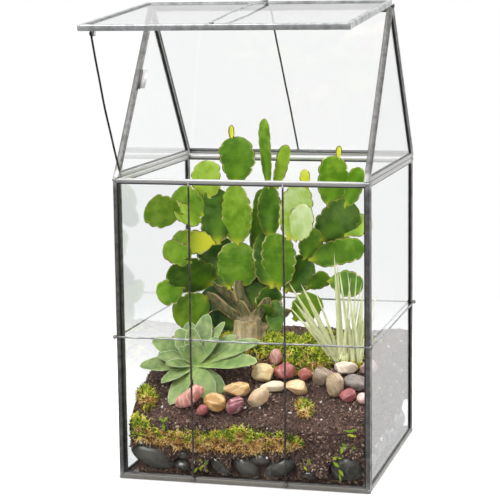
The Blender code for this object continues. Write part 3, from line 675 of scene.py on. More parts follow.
@dataclass(frozen=True)
class AgedCame(Finish):
    """Zinc came with patina and bright patches, a painted highlight along the top rails, dark seams at its
    mitres and a painted shadow along its inner lip.
    """

    dark: Colour = (0.13, 0.125, 0.117)
    bright: Colour = (0.25, 0.245, 0.24)
    solder: Colour = (0.42, 0.42, 0.42)
    top_highlight: Colour = (0.62, 0.61, 0.60)
    top_highlight_height: float = 293 * MM
    seam: float = 0.85
    metal: float = 0.62

    def paint(self, coat: Coat) -> None:
        """Mottled metal with a painted highlight along the top rail, dusty at the sill, smoother where it is
        soldered, and with a painted shadow by the glass.
        """
        patina = coat.mottle(140, 8, 0.3, 0.7)
        coat.colour = coat.mix(patina, self.dark, self.bright)
        coat.layer(coat.mottle(260, 4, 0.45, 0.72), self.dark, 0.35)
        height = coat.height()
        # Paler band along the top rails: a painted highlight of the light from above.
        rail = coat.times(coat.span(height, self.top_highlight_height, self.top_highlight_height + 4 * MM),
                          coat.span(height, self.top_highlight_height + 18 * MM, self.top_highlight_height + 12 * MM))
        coat.layer(rail, self.top_highlight, 0.8)
        coat.layer(coat.span(height, 7.2 * MM, 5.8 * MM), (0.50, 0.46, 0.41), 0.65)
        coat.layer(coat.value(Channel.SOLDER), self.solder, 0.75)
        # Dark mitre joints, and a painted shadow line along the inner lip by the glass.
        coat.layer(coat.value(Channel.SEAM), (0.02, 0.02, 0.02), self.seam)
        coat.settle(patina, 0.46, 0.3, (700, 0.3, 0.2 * MM), Metallic=self.metal)


@dataclass(frozen=True)
class ClearGlass(Finish):
    """Sheet glass that lets the lamps through."""

    tint: Colour = (0.985, 0.995, 0.995)

    def paint(self, coat: Coat) -> None:
        """Clear glass with the faint ripples of drawn sheet."""
        coat.set_own(Base_Color=(*self.tint, 1), Roughness=0.0, IOR=1.46, Transmission_Weight=1.0,
                     Specular_IOR_Level=0.3)
        coat.feed(coat.shader["Normal"], coat.effect(Effect.GRAIN, 12, 0.05, 0.4 * MM))
        coat.let_through(coat.light_path("Is Shadow Ray"), self.tint)


@dataclass(frozen=True)
class PadSkin(Finish):
    """Waxy green skin of the flat pads, with brown rims and faint side veins."""

    def paint(self, coat: Coat) -> None:
        """Green by each pad's painted light and shade and its own green, yellow growth, veins, blush and a
        ragged corky rim.
        """
        along, side = coat.value(Channel.ALONG), coat.value(Channel.SIDE)
        cloud = coat.mottle(90, 3, 0.3, 0.7)
        # Each pad's value holds painted light and shade as well as its own green: low values paint shade, the
        # highest paint a whitish sheen of light.
        shade = coat.math("ADD", coat.value(Channel.TONE),
                          coat.times(coat.math("SUBTRACT", cloud, 0.5), 0.16))
        coat.colour = coat.ramp(
            shade, (0.0, (0.005, 0.022, 0.001)), (0.25, (0.022, 0.072, 0.001)), (0.5, (0.085, 0.205, 0.002)),
            (0.75, (0.29, 0.45, 0.03)), (1.0, (0.56, 0.66, 0.33)))
        slant = coat.times(coat.math("SUBTRACT", along, coat.times(side, 0.12)), 5.0)
        vein = coat.span(coat.math("PINGPONG", slant, 0.5), 0.07, 0.0)
        veins = coat.math("MAXIMUM", coat.times(coat.span(side, 0.1, 0.0), 0.25), coat.times(vein, 0.1))
        coat.layer(veins, (0.24, 0.40, 0.06))
        heart = coat.times(coat.span(side, 0.75, 0.0), coat.span(along, 0.72, 0.12))
        coat.layer(heart, (0.20, 0.40, 0.008), 0.5)
        coat.layer(coat.mottle(34, 2, 0.5, 0.75), (0.28, 0.40, 0.09), 0.22)
        coat.layer(coat.effect(Effect.SPECKLE, 420, 0.22, 0.10), (0.42, 0.46, 0.16), 0.5)
        coat.layer(coat.value(Channel.YELLOW), (0.68, 0.66, 0.03))
        coat.layer(coat.border(0.3, 0.4), (0.34, 0.46, 0.06), 0.5)
        corky = coat.mix(coat.mottle(70, 3, 0.52, 0.6), (0.12, 0.035, 0.012), (0.70, 0.56, 0.36))
        patchy = coat.math("ADD", coat.times(coat.mottle(60, 3, 0.36, 0.5), 0.7), 0.25)
        coat.layer(coat.times(coat.border(0.52, 0.45), patchy), corky)
        coat.settle(cloud, 0.34, 0.5, (900, 0.25, 0.3 * MM), Specular_IOR_Level=0.25, Subsurface_Weight=0.06,
                    Subsurface_Radius=(0.4, 1.0, 0.15), Subsurface_Scale=2 * MM)


@dataclass(frozen=True)
class Bark(Finish):
    """Pale woody skin of the trunk, cracked and stained, with green limbs above it, painted dark for the
    shade they stand in.
    """

    pale: Colour = (0.68, 0.56, 0.36)
    stain: Colour = (0.34, 0.25, 0.13)
    bark_top: float = 143.5 * MM

    def paint(self, coat: Coat) -> None:
        """Beige bark with dark cracks and greenish patches."""
        stretched = coat.add("ShaderNodeMapping", {"Vector": coat.places, "Scale": (1.0, 1.0, 0.35)})
        crack = coat.mottle(260, 6, 0.3, 0.7, places=stretched)
        patch = coat.mottle(70, 3, 0.42, 0.62)
        coat.colour = coat.mix(crack, self.stain, self.pale)
        coat.layer(patch, (0.24, 0.21, 0.06), 0.35)
        coat.layer(coat.mottle(95, 3, 0.55, 0.68), (0.66, 0.40, 0.08), 0.5)
        # Above the trunk's foot the limbs are olive green with tan ridges; the green is painted very dark, as
        # painted shade.
        green = coat.mix(crack, (0.016, 0.026, 0.003), (0.12, 0.11, 0.02))
        uneven = coat.math("ADD", coat.height(), coat.times(patch, 8 * MM))
        ridge = coat.span(coat.value(Channel.SIDE), 0.78, 0.95)
        shaded_limbs = coat.mix(coat.times(ridge, 0.85), green, (0.44, 0.31, 0.11))
        coat.layer(coat.span(uneven, self.bark_top, self.bark_top + 7 * MM), shaded_limbs, 0.9)
        coat.settle(crack, 0.85, 0.62)
        coat.feed(coat.shader["Normal"], coat.add("ShaderNodeBump", {
            "Strength": 0.7, "Distance": 0.8 * MM, "Height": crack}, "Normal"))


@dataclass(frozen=True)
class RosetteSkin(Finish):
    """Grey-green waxy leaves with pale rims."""

    def paint(self, coat: Coat) -> None:
        """Bloom on the leaf, greener at its foot, with a thin pale rim."""
        cloud = coat.mottle(120, 4, 0.32, 0.68)
        coat.colour = coat.mix(cloud, (0.105, 0.185, 0.042), (0.265, 0.330, 0.110))
        coat.layer(coat.span(coat.value(Channel.ALONG), 0.6, 0.0), (0.24, 0.37, 0.05), 0.6)
        # Darker green on each leaf by its painted shade, mostly on the inner leaves.
        coat.layer(coat.value(Channel.TONE), (0.09, 0.17, 0.07), 0.5)
        coat.layer(coat.span(coat.value(Channel.SIDE), 0.12, 0.0), (0.11, 0.19, 0.05), 0.35)
        coat.layer(coat.border(0.5, 0.25), (0.62, 0.68, 0.42), 0.5)
        coat.settle(cloud, 0.5, 0.62, (1100, 0.3, 0.3 * MM), Sheen_Weight=0.12, Sheen_Roughness=0.4)


@dataclass(frozen=True)
class AirLeafSkin(Finish):
    """Silvery air plant leaves, pale at their foot and browned at their tips."""

    def paint(self, coat: Coat) -> None:
        """Fine streaks along the leaf over silver green."""
        streaks = coat.span(coat.math("PINGPONG", coat.times(coat.value(Channel.SIDE), 4.0), 0.5), 0.1, 0.4)
        coat.colour = coat.ramp(
            coat.value(Channel.ALONG), (0.0, (0.74, 0.71, 0.44)), (0.2, (0.66, 0.67, 0.34)),
            (0.6, (0.56, 0.59, 0.20)), (0.9, (0.64, 0.64, 0.26)), (1.0, (0.44, 0.30, 0.10)))
        cloud = coat.mottle(160, 3, 0.35, 0.7)
        coat.layer(streaks, (0.90, 0.91, 0.70), 0.7)
        coat.layer(cloud, (0.30, 0.38, 0.09), 0.3)
        coat.layer(coat.value(Channel.TINT), (0.62, 0.62, 0.34), 0.35)
        coat.settle(cloud, 0.6, 0.75, (1500, 0.3, 0.2 * MM), Sheen_Weight=0.2)


@dataclass(frozen=True)
class MossFibre(Finish):
    """Moss that is yellow-green above and orange-brown below a height."""

    low: float
    high: float
    brown_share: float

    def paint(self, coat: Coat) -> None:
        """Colour by the fibre's height and its own tint."""
        tint, cloud = coat.value(Channel.TINT), coat.mottle(110, 2, 0.35, 0.65)
        green = coat.ramp(tint, (0.0, (0.020, 0.045, 0.002)), (0.33, (0.13, 0.26, 0.004)),
                          (0.66, (0.48, 0.56, 0.010)), (1.0, (0.98, 0.92, 0.12)))
        brown = coat.ramp(tint, (0.0, (0.06, 0.022, 0.006)), (0.3, (0.42, 0.19, 0.030)),
                          (0.6, (0.84, 0.48, 0.12)), (1.0, (0.99, 0.80, 0.40)))
        level = coat.math("ADD", coat.span(coat.height(), self.high, self.low),
                          coat.math("SUBTRACT", cloud, 0.5))
        dry = coat.span(level, 0.75 - self.brown_share, 1.05 - self.brown_share)
        coat.colour = coat.mix(dry, green, brown)
        coat.settle(cloud, 0.7, 0.9)


@dataclass(frozen=True)
class SoilGrain(Finish):
    """Potting soil: dark crumbs with brown fibres."""

    dark: Colour = (0.009, 0.004, 0.003)
    brown: Colour = (0.165, 0.086, 0.060)

    def paint(self, coat: Coat) -> None:
        """Brown by grain, with fine bumps."""
        grain = coat.mottle(520, 4, 0.35, 0.7)
        coat.colour = coat.mix(grain, self.dark, self.brown)
        coat.layer(coat.math("POWER", coat.value(Channel.TINT), 5.0), (0.62, 0.43, 0.32), 0.9)
        coat.layer(coat.effect(Effect.SPECKLE, 480, 0.3, 0.12), (0.26, 0.16, 0.09), 0.7)
        coat.settle(grain, 0.8, 0.95, (1200, 0.8, 0.8 * MM))


@dataclass(frozen=True)
class Stone(Finish):
    """Stone with clouds of a second colour, veins and specks."""

    base: Colour
    cloud: Colour
    vein: Colour
    vein_share: float
    band_scale: float
    band_turn: tuple[float, float, float] = (0.3, 0.5, 0.9)
    speck_share: float = 0.18
    shine: float = 0.3
    gloss: float = 0.5

    def paint(self, coat: Coat) -> None:
        """Clouds, wandering veins and specks, polished by water."""
        clouds = coat.mottle(self.band_scale * 0.7, 4, 0.38, 0.62)
        turned = coat.add("ShaderNodeMapping", {"Vector": coat.places, "Rotation": self.band_turn})
        bands = coat.add("ShaderNodeTexWave", {
            "Vector": turned, "Scale": self.band_scale * 0.45, "Distortion": 11.0, "Detail": 4.0,
            "Detail Scale": 1.2}, "Fac")
        coat.colour = coat.mix(clouds, self.base, self.cloud)
        coat.layer(coat.span(bands, 1.0 - self.vein_share, 1.0), self.vein, 0.55)
        coat.layer(coat.effect(Effect.SPECKLE, 700, 0.3, self.speck_share), self.vein, 0.35)
        coat.settle(clouds, self.shine, self.shine + 0.15, (600, 0.2, 0.3 * MM),
                    Specular_IOR_Level=self.gloss)


@dataclass(frozen=True)
class PaleGrain(Finish):
    """White perlite: chalky and pitted."""

    def paint(self, coat: Coat) -> None:
        """Off-white with grey pits."""
        pits = coat.mottle(1500, 3, 0.3, 0.55)
        coat.colour = coat.mix(pits, (0.45, 0.42, 0.38), (0.86, 0.84, 0.80))
        coat.settle(pits, 0.95, 0.8, (1800, 0.7, 0.5 * MM))


@dataclass(frozen=True)
class PaleFloor(Finish):
    """Plain pale floor that fades into the white room."""

    near: float = 0.35
    far: float = 0.95

    def paint(self, coat: Coat) -> None:
        """Near white, matt, and clear far from the middle."""
        shade = coat.mix(coat.mottle(3, 2, 0.2, 0.8), (0.93, 0.93, 0.93), (0.95, 0.95, 0.95))
        coat.feed(coat.shader["Base Color"], shade)
        coat.set_own(Roughness=0.9, Emission_Color=(1, 1, 1, 1), Emission_Strength=0.3)
        away = coat.add("ShaderNodeVectorMath", {0: coat.places}, "Value", operation="LENGTH")
        coat.let_through(coat.math("MAXIMUM", coat.span(away, self.near, self.far), coat.mirrored()))


CASE_CAME = AgedCame("case_came")
# The lid's came is the case's zinc painted paler, as painted light on the top-lit lid, with a weaker painted
# shadow line.
TOP_LIT_LID_CAME = AgedCame("lid_came", dark=(0.34, 0.35, 0.35), bright=(0.62, 0.64, 0.65), solder=(0.66, 0.66, 0.66),
                    seam=0.5)
RING_WIRE = AgedCame("ring_wire", dark=(0.24, 0.24, 0.24), bright=(0.50, 0.50, 0.50))
DARK_WIRE = AgedCame("dark_wire", dark=(0.03, 0.027, 0.025), bright=(0.10, 0.09, 0.085))
UPRIGHT_WIRE = AgedCame("upright_wire", dark=(0.06, 0.05, 0.045), bright=(0.16, 0.14, 0.125),
                        solder=(0.2, 0.19, 0.18))
PAN_SHEET = AgedCame("pan_sheet", dark=(0.24, 0.235, 0.225), bright=(0.42, 0.42, 0.41), metal=0.4)
CATCH_TAB = AgedCame("catch_tab", dark=(0.44, 0.42, 0.41), bright=(0.60, 0.58, 0.57), metal=0.1)
GLASS = ClearGlass("clear_glass")
PAD_SKIN = PadSkin("pad_skin")
BARK = Bark("bark")
ROSETTE_SKIN = RosetteSkin("rosette_skin")
AIR_LEAF_SKIN = AirLeafSkin("air_leaf_skin")
SOIL = SoilGrain("soil_grain")
BARK_BIT = SoilGrain("bark_bit", dark=(0.06, 0.03, 0.018), brown=(0.22, 0.11, 0.06))
STRAW = SoilGrain("straw", dark=(0.34, 0.22, 0.09), brown=(0.72, 0.52, 0.27))
PERLITE = PaleGrain("perlite")
BLACK_STONE = Stone("black_stone", (0.032, 0.031, 0.025), (0.072, 0.066, 0.055), (0.11, 0.10, 0.085),
                    0.1, 45.0, speck_share=0.08, shine=0.16, gloss=1.0)
BAND_MOSS = MossFibre("band_moss", 36 * MM, 56 * MM, 0.5)
MOUND_MOSS = MossFibre("mound_moss", 94 * MM, 122 * MM, 0.34)
TUFT_MOSS = MossFibre("tuft_moss", 62 * MM, 92 * MM, 0.42)
LEAF_BIT = MossFibre("leaf_bit", -20 * MM, 0.0, 0.0)


# Strewing by Geometry Nodes


def crumb_shape(sides: int, seed: float) -> Thing:
    """Uneven angular grain about one millimetre across, its middle at the origin.

    Args:
        sides: Number of corners round its middle.
        seed: Which grain of its kind.

    Returns:
        The grain, for strewing.
    """
    draft = Draft()
    top, bottom = [draft.point(Vector(tip) * MM) for tip in ((0.1, 0, 0.5), (0, -0.1, -0.5))]
    ring = []
    for side, angle in enumerate(turns(sides)):
        reach = 0.5 + 0.14 * sin(side * 2.6 + seed)
        ring.append(draft.point(Vector((cos(angle) * reach, sin(angle) * reach,
                                        0.14 * sin(side * 1.9 + seed))) * MM))
    for first, second in zip(ring, ring[1:] + ring[:1]):
        draft.faces += [(first, second, top), (second, first, bottom)]
    return draft.build("crumb", smooth=False)


def sprig_shape(blades: int, length: float, width: float) -> Thing:
    """Tuft of short curved spikes, its foot at the origin.

    Args:
        blades: Number of spikes.
        length: Length of a spike.
        width: Width at its foot.

    Returns:
        The tuft, for strewing.
    """
    draft = Draft()
    for blade in range(blades):
        heading = tau * blade / blades + 0.4
        out = Vector((cos(heading), sin(heading), 0))
        reach = length * (0.75 + 0.25 * sin(blade * 2.3))
        foot, middle = out * width * 0.3, out * reach * 0.3 + UP * reach * 0.55
        rows = [[draft.point(centre + Vector((cos(turn + heading), sin(turn + heading), 0)) * half)
                 for turn in turns(3)] for centre, half in ((foot, width / 2), (middle, width * 0.42))]
        draft.skin(rows)
        draft.faces.append(tuple(reversed(rows[0])))
        tip = draft.point(out * reach * 0.85 + UP * reach * 0.8)
        draft.faces += [(rows[1][corner], rows[1][(corner + 1) % 3], tip) for corner in range(3)]
    return draft.build("sprig")


@dataclass(frozen=True)
class Scatter:
    """How copies of a grain lie on a surface.

    The density is in copies per square metre where the surface is fully loose, the sizes are
    scales of the grain, the tilt is its greatest lean in radians and the lift is in metres.
    """

    grain: str
    finish: Finish
    density: float
    smallest: tuple[float, float, float]
    largest: tuple[float, float, float]
    tilt: float
    lift: float
    seed: int


class Strewing:
    """Geometry Nodes that strew copies of a small shape over a surface."""

    sockets = {"Surface": "Geometry", "Grain": "Object", "Density": "Float", "Smallest": "Vector",
               "Largest": "Vector", "Tilt": "Float", "Lift": "Float", "Seed": "Int", "Finish": "Material"}

    def __init__(self) -> None:
        """Make the grains and build the tree, once."""
        self.grains = {"crumb": crumb_shape(4, 1.0), "chip": crumb_shape(4, 2.0), "pale": crumb_shape(8, 4.0),
                       "sprig": sprig_shape(4, 7.0 * MM, 1.7 * MM)}
        self.tree = bpy.data.node_groups.new("strew", "GeometryNodeTree")
        for name, kind in self.sockets.items():
            self.tree.interface.new_socket(name=name, in_out="INPUT", socket_type="NodeSocket" + kind)
        self.tree.interface.new_socket(name="Grains", in_out="OUTPUT", socket_type="NodeSocketGeometry")
        graph = Graph(self.tree)
        given = self.tree.nodes.new("NodeGroupInput").outputs
        seed, tilt = given["Seed"], given["Tilt"]
        loose = graph.add("GeometryNodeInputNamedAttribute", {"Name": Channel.LOOSE.value}, "Attribute",
                          data_type="FLOAT")
        points = graph.add("GeometryNodeDistributePointsOnFaces", {
            "Mesh": given["Surface"], "Density": graph.times(given["Density"], loose), "Seed": seed,
        }, "Points")
        spread = points.node.outputs
        rise = graph.add("ShaderNodeVectorMath", {0: spread["Normal"], "Scale": given["Lift"]}, "Vector",
                         operation="SCALE")
        lifted = graph.add("GeometryNodeSetPosition", {"Geometry": points, "Offset": rise})
        back = graph.times(tilt, -1.0)
        low = graph.add("ShaderNodeCombineXYZ", {"X": back, "Y": back, "Z": 0.0})
        high = graph.add("ShaderNodeCombineXYZ", {"X": tilt, "Y": tilt, "Z": tau})
        lean = graph.add("FunctionNodeRandomValue", {0: low, 1: high, "Seed": seed}, data_type="FLOAT_VECTOR")
        turn = graph.add("FunctionNodeEulerToRotation", {0: lean})
        leaning = graph.add("FunctionNodeRotateRotation", {0: spread["Rotation"], 1: turn},
                            rotation_space="LOCAL")
        size = graph.add("FunctionNodeRandomValue", {
            0: given["Smallest"], 1: given["Largest"], "Seed": seed}, data_type="FLOAT_VECTOR")
        grain = graph.add("GeometryNodeObjectInfo", {
            "Object": given["Grain"], "As Instance": True}, "Geometry")
        copies = graph.add("GeometryNodeInstanceOnPoints", {
            "Points": lifted, "Instance": grain, "Rotation": leaning, "Scale": size})
        draw = graph.add("FunctionNodeRandomValue", {"Seed": seed}, 1, data_type="FLOAT")
        tinted = graph.add("GeometryNodeStoreNamedAttribute", {
            "Geometry": copies, "Name": Channel.TINT.value, "Value": draw,
        }, data_type="FLOAT", domain="INSTANCE")
        real = graph.add("GeometryNodeRealizeInstances", {"Geometry": tinted})
        dressed = graph.add("GeometryNodeSetMaterial", {"Geometry": real, "Material": given["Finish"]})
        graph.feed(self.tree.nodes.new("NodeGroupOutput").inputs["Grains"], dressed)

    def strew(self, name: str, surface: Thing, scatter: Scatter) -> Thing:
        """Strew copies of a grain over a surface and make them a plain mesh.

        Args:
            name: Name of the piece.
            surface: Mesh to strew over, with the loose channel.
            scatter: Which grain, and how it lies.

        Returns:
            The copies as one mesh object.
        """
        carrier = show(name + "_carrier", surface.data)
        modifier = carrier.modifiers.new("strew", "NODES")
        modifier.node_group = self.tree
        values = {
            "Grain": self.grains[scatter.grain], "Density": scatter.density, "Tilt": scatter.tilt,
            "Smallest": Vector(scatter.smallest), "Largest": Vector(scatter.largest), "Lift": scatter.lift,
            "Seed": scatter.seed, "Finish": scatter.finish.material(),
        }
        for item in self.tree.interface.items_tree:
            if item.in_out == "INPUT" and item.name in values:
                modifier[item.identifier] = values[item.name]
        bpy.context.view_layer.update()
        depsgraph = bpy.context.evaluated_depsgraph_get()
        mesh = bpy.data.meshes.new_from_object(
            carrier.evaluated_get(depsgraph), preserve_all_data_layers=True, depsgraph=depsgraph)
        put_away(carrier)
        mesh.name = name
        return show(name, mesh)

    def strew_all(self, surface: Thing, table: dict[str, Scatter]) -> list[Thing]:
        """Strew each row of a table over a surface."""
        return [self.strew(name, surface, scatter) for name, scatter in table.items()]


ON_SOIL = {
    "soil_crumbs": Scatter("crumb", SOIL, 270000, (0.7, 0.7, 0.6), (3.8, 3.2, 2.6), pi, 0.2 * MM, 11),
    "bark_bits": Scatter("chip", BARK_BIT, 16000, (0.6, 0.3, 0.2), (4.5, 1.1, 0.6), 0.6, 0.4 * MM, 12),
    "perlite_grains": Scatter("pale", PERLITE, 1700, (1.4, 1.3, 1.2), (5.2, 4.4, 4.0), pi, 0.9 * MM, 14),
}
ON_PAN = {
    "spilled_soil": Scatter("crumb", SOIL, 60000, (0.7, 0.7, 0.6), (2.4, 2.2, 1.7), pi, 0.0, 21),
    "spilled_bark": Scatter("chip", BARK_BIT, 45000, (0.6, 0.4, 0.3), (3.2, 1.2, 0.8), pi, 0.6 * MM, 22),
    "spilled_straw": Scatter("chip", STRAW, 38000, (0.8, 0.25, 0.2), (6.0, 0.7, 0.5), 0.7, 1.0 * MM, 23),
}
STRAY_MOSS = Scatter("sprig", MOUND_MOSS, 150000, (0.5, 0.5, 0.5), (1.3, 1.3, 1.3), 1.2, 0.0, 61)


# Case


# Half of the came's section: share of its width, and depth under its face in mm
CAME_SECTION = ((0.0, 1.1), (0.05, 0.35), (0.16, 0.08), (0.5, 0.0),
                (0.72, 0.04), (0.78, 0.4), (0.94, 0.5), (1.0, 1.1))


class Metalwork(Draft):
    """Draft of a metal piece, with its seams, the painted shadow along its inner lips and its solder."""

    def __init__(self) -> None:
        """Start empty."""
        super().__init__(Channel.SEAM, Channel.SOLDER)

    def bead(self, centre: Vector, radii: tuple[float, float, float], seed: float) -> None:
        """Add an uneven bead of solder.

        Args:
            centre: Its middle.
            radii: Half its width, depth and height in millimetres.
            seed: Which bead.
        """
        size, rows = Vector(radii) * MM, []
        for step in range(1, 7):
            polar = pi * step / 7
            row = []
            for turn in turns(12):
                way = Vector((sin(polar) * cos(turn), sin(polar) * sin(turn), cos(polar)))
                spot = way * size * (1 + 0.12 * waver(way, 0.8, seed))
                row.append(self.point(centre + spot, solder=1.0))
            rows.append(row)
        self.loft(rows)

    def slab(self, matrix: Matrix, low: tuple | Vector, high: tuple | Vector) -> None:
        """Add a small round-edged block.

        Args:
            matrix: Where it stands.
            low: Its lowest corner.
            high: Its highest corner.
        """
        low, high, rows = Vector(low), Vector(high), []
        edge = 0.25 * MM
        for height, shrink in ((low.z, edge), (low.z + edge, 0), (high.z - edge, 0), (high.z, edge)):
            left, right, near, far = low.x + shrink, high.x - shrink, low.y + shrink, high.y - shrink
            rows.append([self.point(matrix @ Vector((x, y, height)), solder=0.5)
                         for x, y in ((left, near), (right, near), (right, far), (left, far))])
        self.loft(rows)

    def metal(self, name: str, finish: Finish, *nodes: str, slot: str = "aged_came",
              body: Body = Body.CASE) -> None:
        """Build the draft as a finished metal piece."""
        self.piece(name, finish, slot, *nodes, body=body)


@dataclass
class Case:
    """The glazed case: came rings, panes, wires, hinge, catch plate and pan."""

    ridge: Vector
    half_width: float
    half_depth: float
    wall_height: float
    lid_tilt: float = radians(5)
    lid_overhang: float = 4.5 * MM
    came_width: float = 5.5 * MM
    sill_width: float = 6.5 * MM
    came_depth: float = 6 * MM
    play: float = 0.3 * MM
    ridge_edge: float = 3.2 * MM
    wire_radius: float = 1 * MM
    ring_height: float = 144 * MM
    front_wires: tuple[float, float] = (-50 * MM, 44 * MM)
    roof_wire_bump: float = 1.8 * MM
    hinge_place: float = 84 * MM
    knuckle_length: float = 24 * MM
    knuckle_gap: float = 0.6 * MM
    knuckle_radius: float = 2.6 * MM
    bore_radius: float = 1.3 * MM

    @property
    def slope_angle(self) -> float:
        """Angle of the fixed slope below level."""
        return atan2(self.ridge.z - self.wall_height, self.half_depth)

    @property
    def slope_length(self) -> float:
        """Length of a slope from ridge to eave."""
        return hypot(self.ridge.z - self.wall_height, self.half_depth)

    @property
    def lid_length(self) -> float:
        """Length of the lid from the hinge's axis."""
        return self.slope_length + self.lid_overhang

    def ring(self, draft: Draft, outline: list[Vector], widths: list[float], low: float,
             matrix: Matrix) -> None:
        """Add a mitred came ring with a rounded section to a draft.

        Args:
            draft: Where it goes.
            outline: Outer corners, anticlockwise.
            widths: Came width of each side.
            low: Height of its inner face.
            matrix: Where the flat ring stands in the case.
        """
        high = low + self.came_depth
        face = [(share, high - drop * MM) for share, drop in CAME_SECTION]
        profile = face + [(share, low + high - height) for share, height in reversed(face)]
        corners = {share: inset(outline, [width * share for width in widths]) for share, _ in face}
        loops = []
        for side, corner in enumerate(outline):
            after = (side + 1) % len(outline)
            length = (outline[after] - corner).length
            marks = [mark / length for mark in (0.0, 0.6 * MM, 6 * MM, 11 * MM)]
            middle = max(int(length / (14 * MM)), 2)
            start, end = marks[-1], 1 - marks[-1]
            stations = marks + [start + (end - start) * step / middle for step in range(1, middle)]
            for along in stations + [1 - mark for mark in reversed(marks[1:])]:
                from_corner = min(along, 1 - along) * length
                seam = 1.0 if from_corner < 0.3 * MM else 0.0
                solder = 1 - smooth_step((from_corner - 4 * MM) / (5 * MM))
                loop = []
                for share, height in profile:
                    flat = corners[share][side].lerp(corners[share][after], along)
                    place = matrix @ Vector((flat.x, flat.y, height))
                    dent = Vector([waver(place, 0.03, seed) for seed in (1, 2, 3)])
                    # The inner lip, where the came meets the glass, gets a dark line: a painted shadow. The
                    # dark at the mitres is a real joint.
                    groove_shadow = 1.0 if share > 0.75 else 0.0
                    loop.append(draft.point(place + dent * 0.06 * MM, seam=max(seam, groove_shadow), solder=solder))
                loops.append(loop)
        draft.skin(loops, around=True)

    def build_walls(self) -> None:
        """Came rings of the four walls and the two gables, with soldered corners."""
        inner_x, inner_y = self.half_width - self.came_depth, self.half_depth - self.came_depth
        full = rectangle(2 * self.half_width, self.wall_height)
        side = rectangle(2 * (inner_y - self.play), self.wall_height)
        eave = self.wall_height + self.play
        base = self.half_depth * (1 - self.play / (self.ridge.z - self.wall_height))
        gable = [Vector((-base, eave)), Vector((base, eave)), Vector((0, self.ridge.z))]
        left, right = facing((-inner_x, 0, 0), (0, -1, 0)), facing((inner_x, 0, 0), (0, 1, 0))
        for name, outline, matrix in (
                ("front", full, facing((0, -inner_y, 0), (1, 0, 0))),
                ("back", full, facing((0, inner_y, 0), (-1, 0, 0))), ("left", side, left),
                ("right", side, right), ("left_gable", gable, left), ("right_gable", gable, right)):
            draft = Metalwork()
            foot = self.came_width if outline is gable else self.sill_width
            self.ring(draft, outline, [foot] + [self.came_width] * (len(outline) - 1), 0.0, matrix)
            draft.metal(name + "_came", CASE_CAME, name + "_frame")
        beads = Metalwork()
        for across in (-1, 1):
            for along in (-1, 1):
                for height, radii in ((self.wall_height - 1.5 * MM, (2.2, 2.2, 2.0)),
                                      (2.2 * MM, (2.0, 2.0, 2.0))):
                    x, y = across * (self.half_width - 1.4 * MM), along * (self.half_depth - 1.4 * MM)
                    beads.bead(Vector((x, y, height)), radii, across + 2 * along + height)
        beads.metal("corner_solder", CASE_CAME)

    def slope_ring(self, draft: Metalwork, length: float, matrix: Matrix, *knuckles: float) -> None:
        """Add a slope's came ring and its hinge knuckles to a draft.

        Args:
            draft: Where it goes.
            length: Its length from the hinge's axis.
            matrix: Where it stands.
            knuckles: Middles of its knuckles.
        """
        outline = rectangle(2 * self.half_width, length - self.ridge_edge, -length)
        self.ring(draft, outline, [self.came_width] * 4, self.play, matrix)
        edge = 0.3 * MM
        for middle in knuckles:
            left, right = middle - self.knuckle_length / 2, middle + self.knuckle_length / 2
            full, bore = self.knuckle_radius, self.bore_radius
            rows = [[draft.point(matrix @ Vector((x, cos(turn) * radius, sin(turn) * radius)), solder=0.4)
                     for turn in turns(24)]
                    for x, radius in ((left, bore), (left, full - edge), (left + edge, full),
                                      (right - edge, full), (right, full - edge), (right, bore))]
            draft.skin(rows, around=True)
            draft.slab(matrix, (left + self.play, -6.2 * MM, 1.3 * MM),
                       (right - self.play, -1.6 * MM, 2.3 * MM))

    def roof_wire(self, name: str, length: float, matrix: Matrix, node: str, finish: Finish,
                  body: Body) -> None:
        """Bowed wire along the middle of a slope, soldered at both rails.

        Args:
            name: The piece's name.
            length: Length of the slope.
            matrix: Where the slope stands.
            node: The node that it stands for.
            finish: Its finish.
            body: What it rides on.
        """
        near, far = self.ridge_edge + self.came_width / 2, length - self.came_width / 2
        base = self.play + self.came_depth + self.play + self.wire_radius
        draft, path = Metalwork(), []
        for share in shares(40):
            height = base + self.roof_wire_bump * sin(pi * share) + 0.2 * MM * sin(share * 21)
            path.append(matrix @ Vector((0.4 * MM * sin(share * 5), -(near + (far - near) * share), height)))
        sweep(draft, path, self.wire_radius * 0.95, 12)
        for along in (near, far):
            draft.bead(matrix @ Vector((0, -along, base)), (2.6, 2.6, 1.2), along * 100)
        draft.metal(name, finish, node, body=body)

    def build_roof(self) -> None:
        """Fixed back slope, the lid and the hinge pin."""
        up_slope = Vector((0, -cos(self.slope_angle), sin(self.slope_angle)))
        back = facing(self.ridge, (-1, 0, 0), up_slope)
        outer = self.hinge_place + self.knuckle_length + self.knuckle_gap
        slope = Metalwork()
        self.slope_ring(slope, self.slope_length, back, -outer, outer)
        slope.metal("back_slope_came", CASE_CAME, "back_slope_frame")
        self.roof_wire("back_slope_bow", self.slope_length, back, "back_slope_wire", DARK_WIRE, Body.CASE)

        lid = Matrix.Translation(self.ridge) @ Matrix.Rotation(self.lid_tilt, 4, "X")
        frame, length = Metalwork(), self.lid_length
        self.slope_ring(frame, length, lid, -self.hinge_place, self.hinge_place)
        face = self.play + self.came_depth - 0.6 * MM
        for across in (-1, 1):
            for along in (length - 2 * MM, self.ridge_edge + 2 * MM):
                corner = Vector((across * (self.half_width - 2 * MM), -along, face))
                frame.bead(lid @ corner, (2.2, 2.2, 0.9), across + along * 50)
        self.add_lug(frame, lid)
        frame.metal("lid_came", TOP_LIT_LID_CAME, "lid_frame", body=Body.LID)
        self.roof_wire("lid_bow", length, lid, "lid_wire", TOP_LIT_LID_CAME, Body.LID)

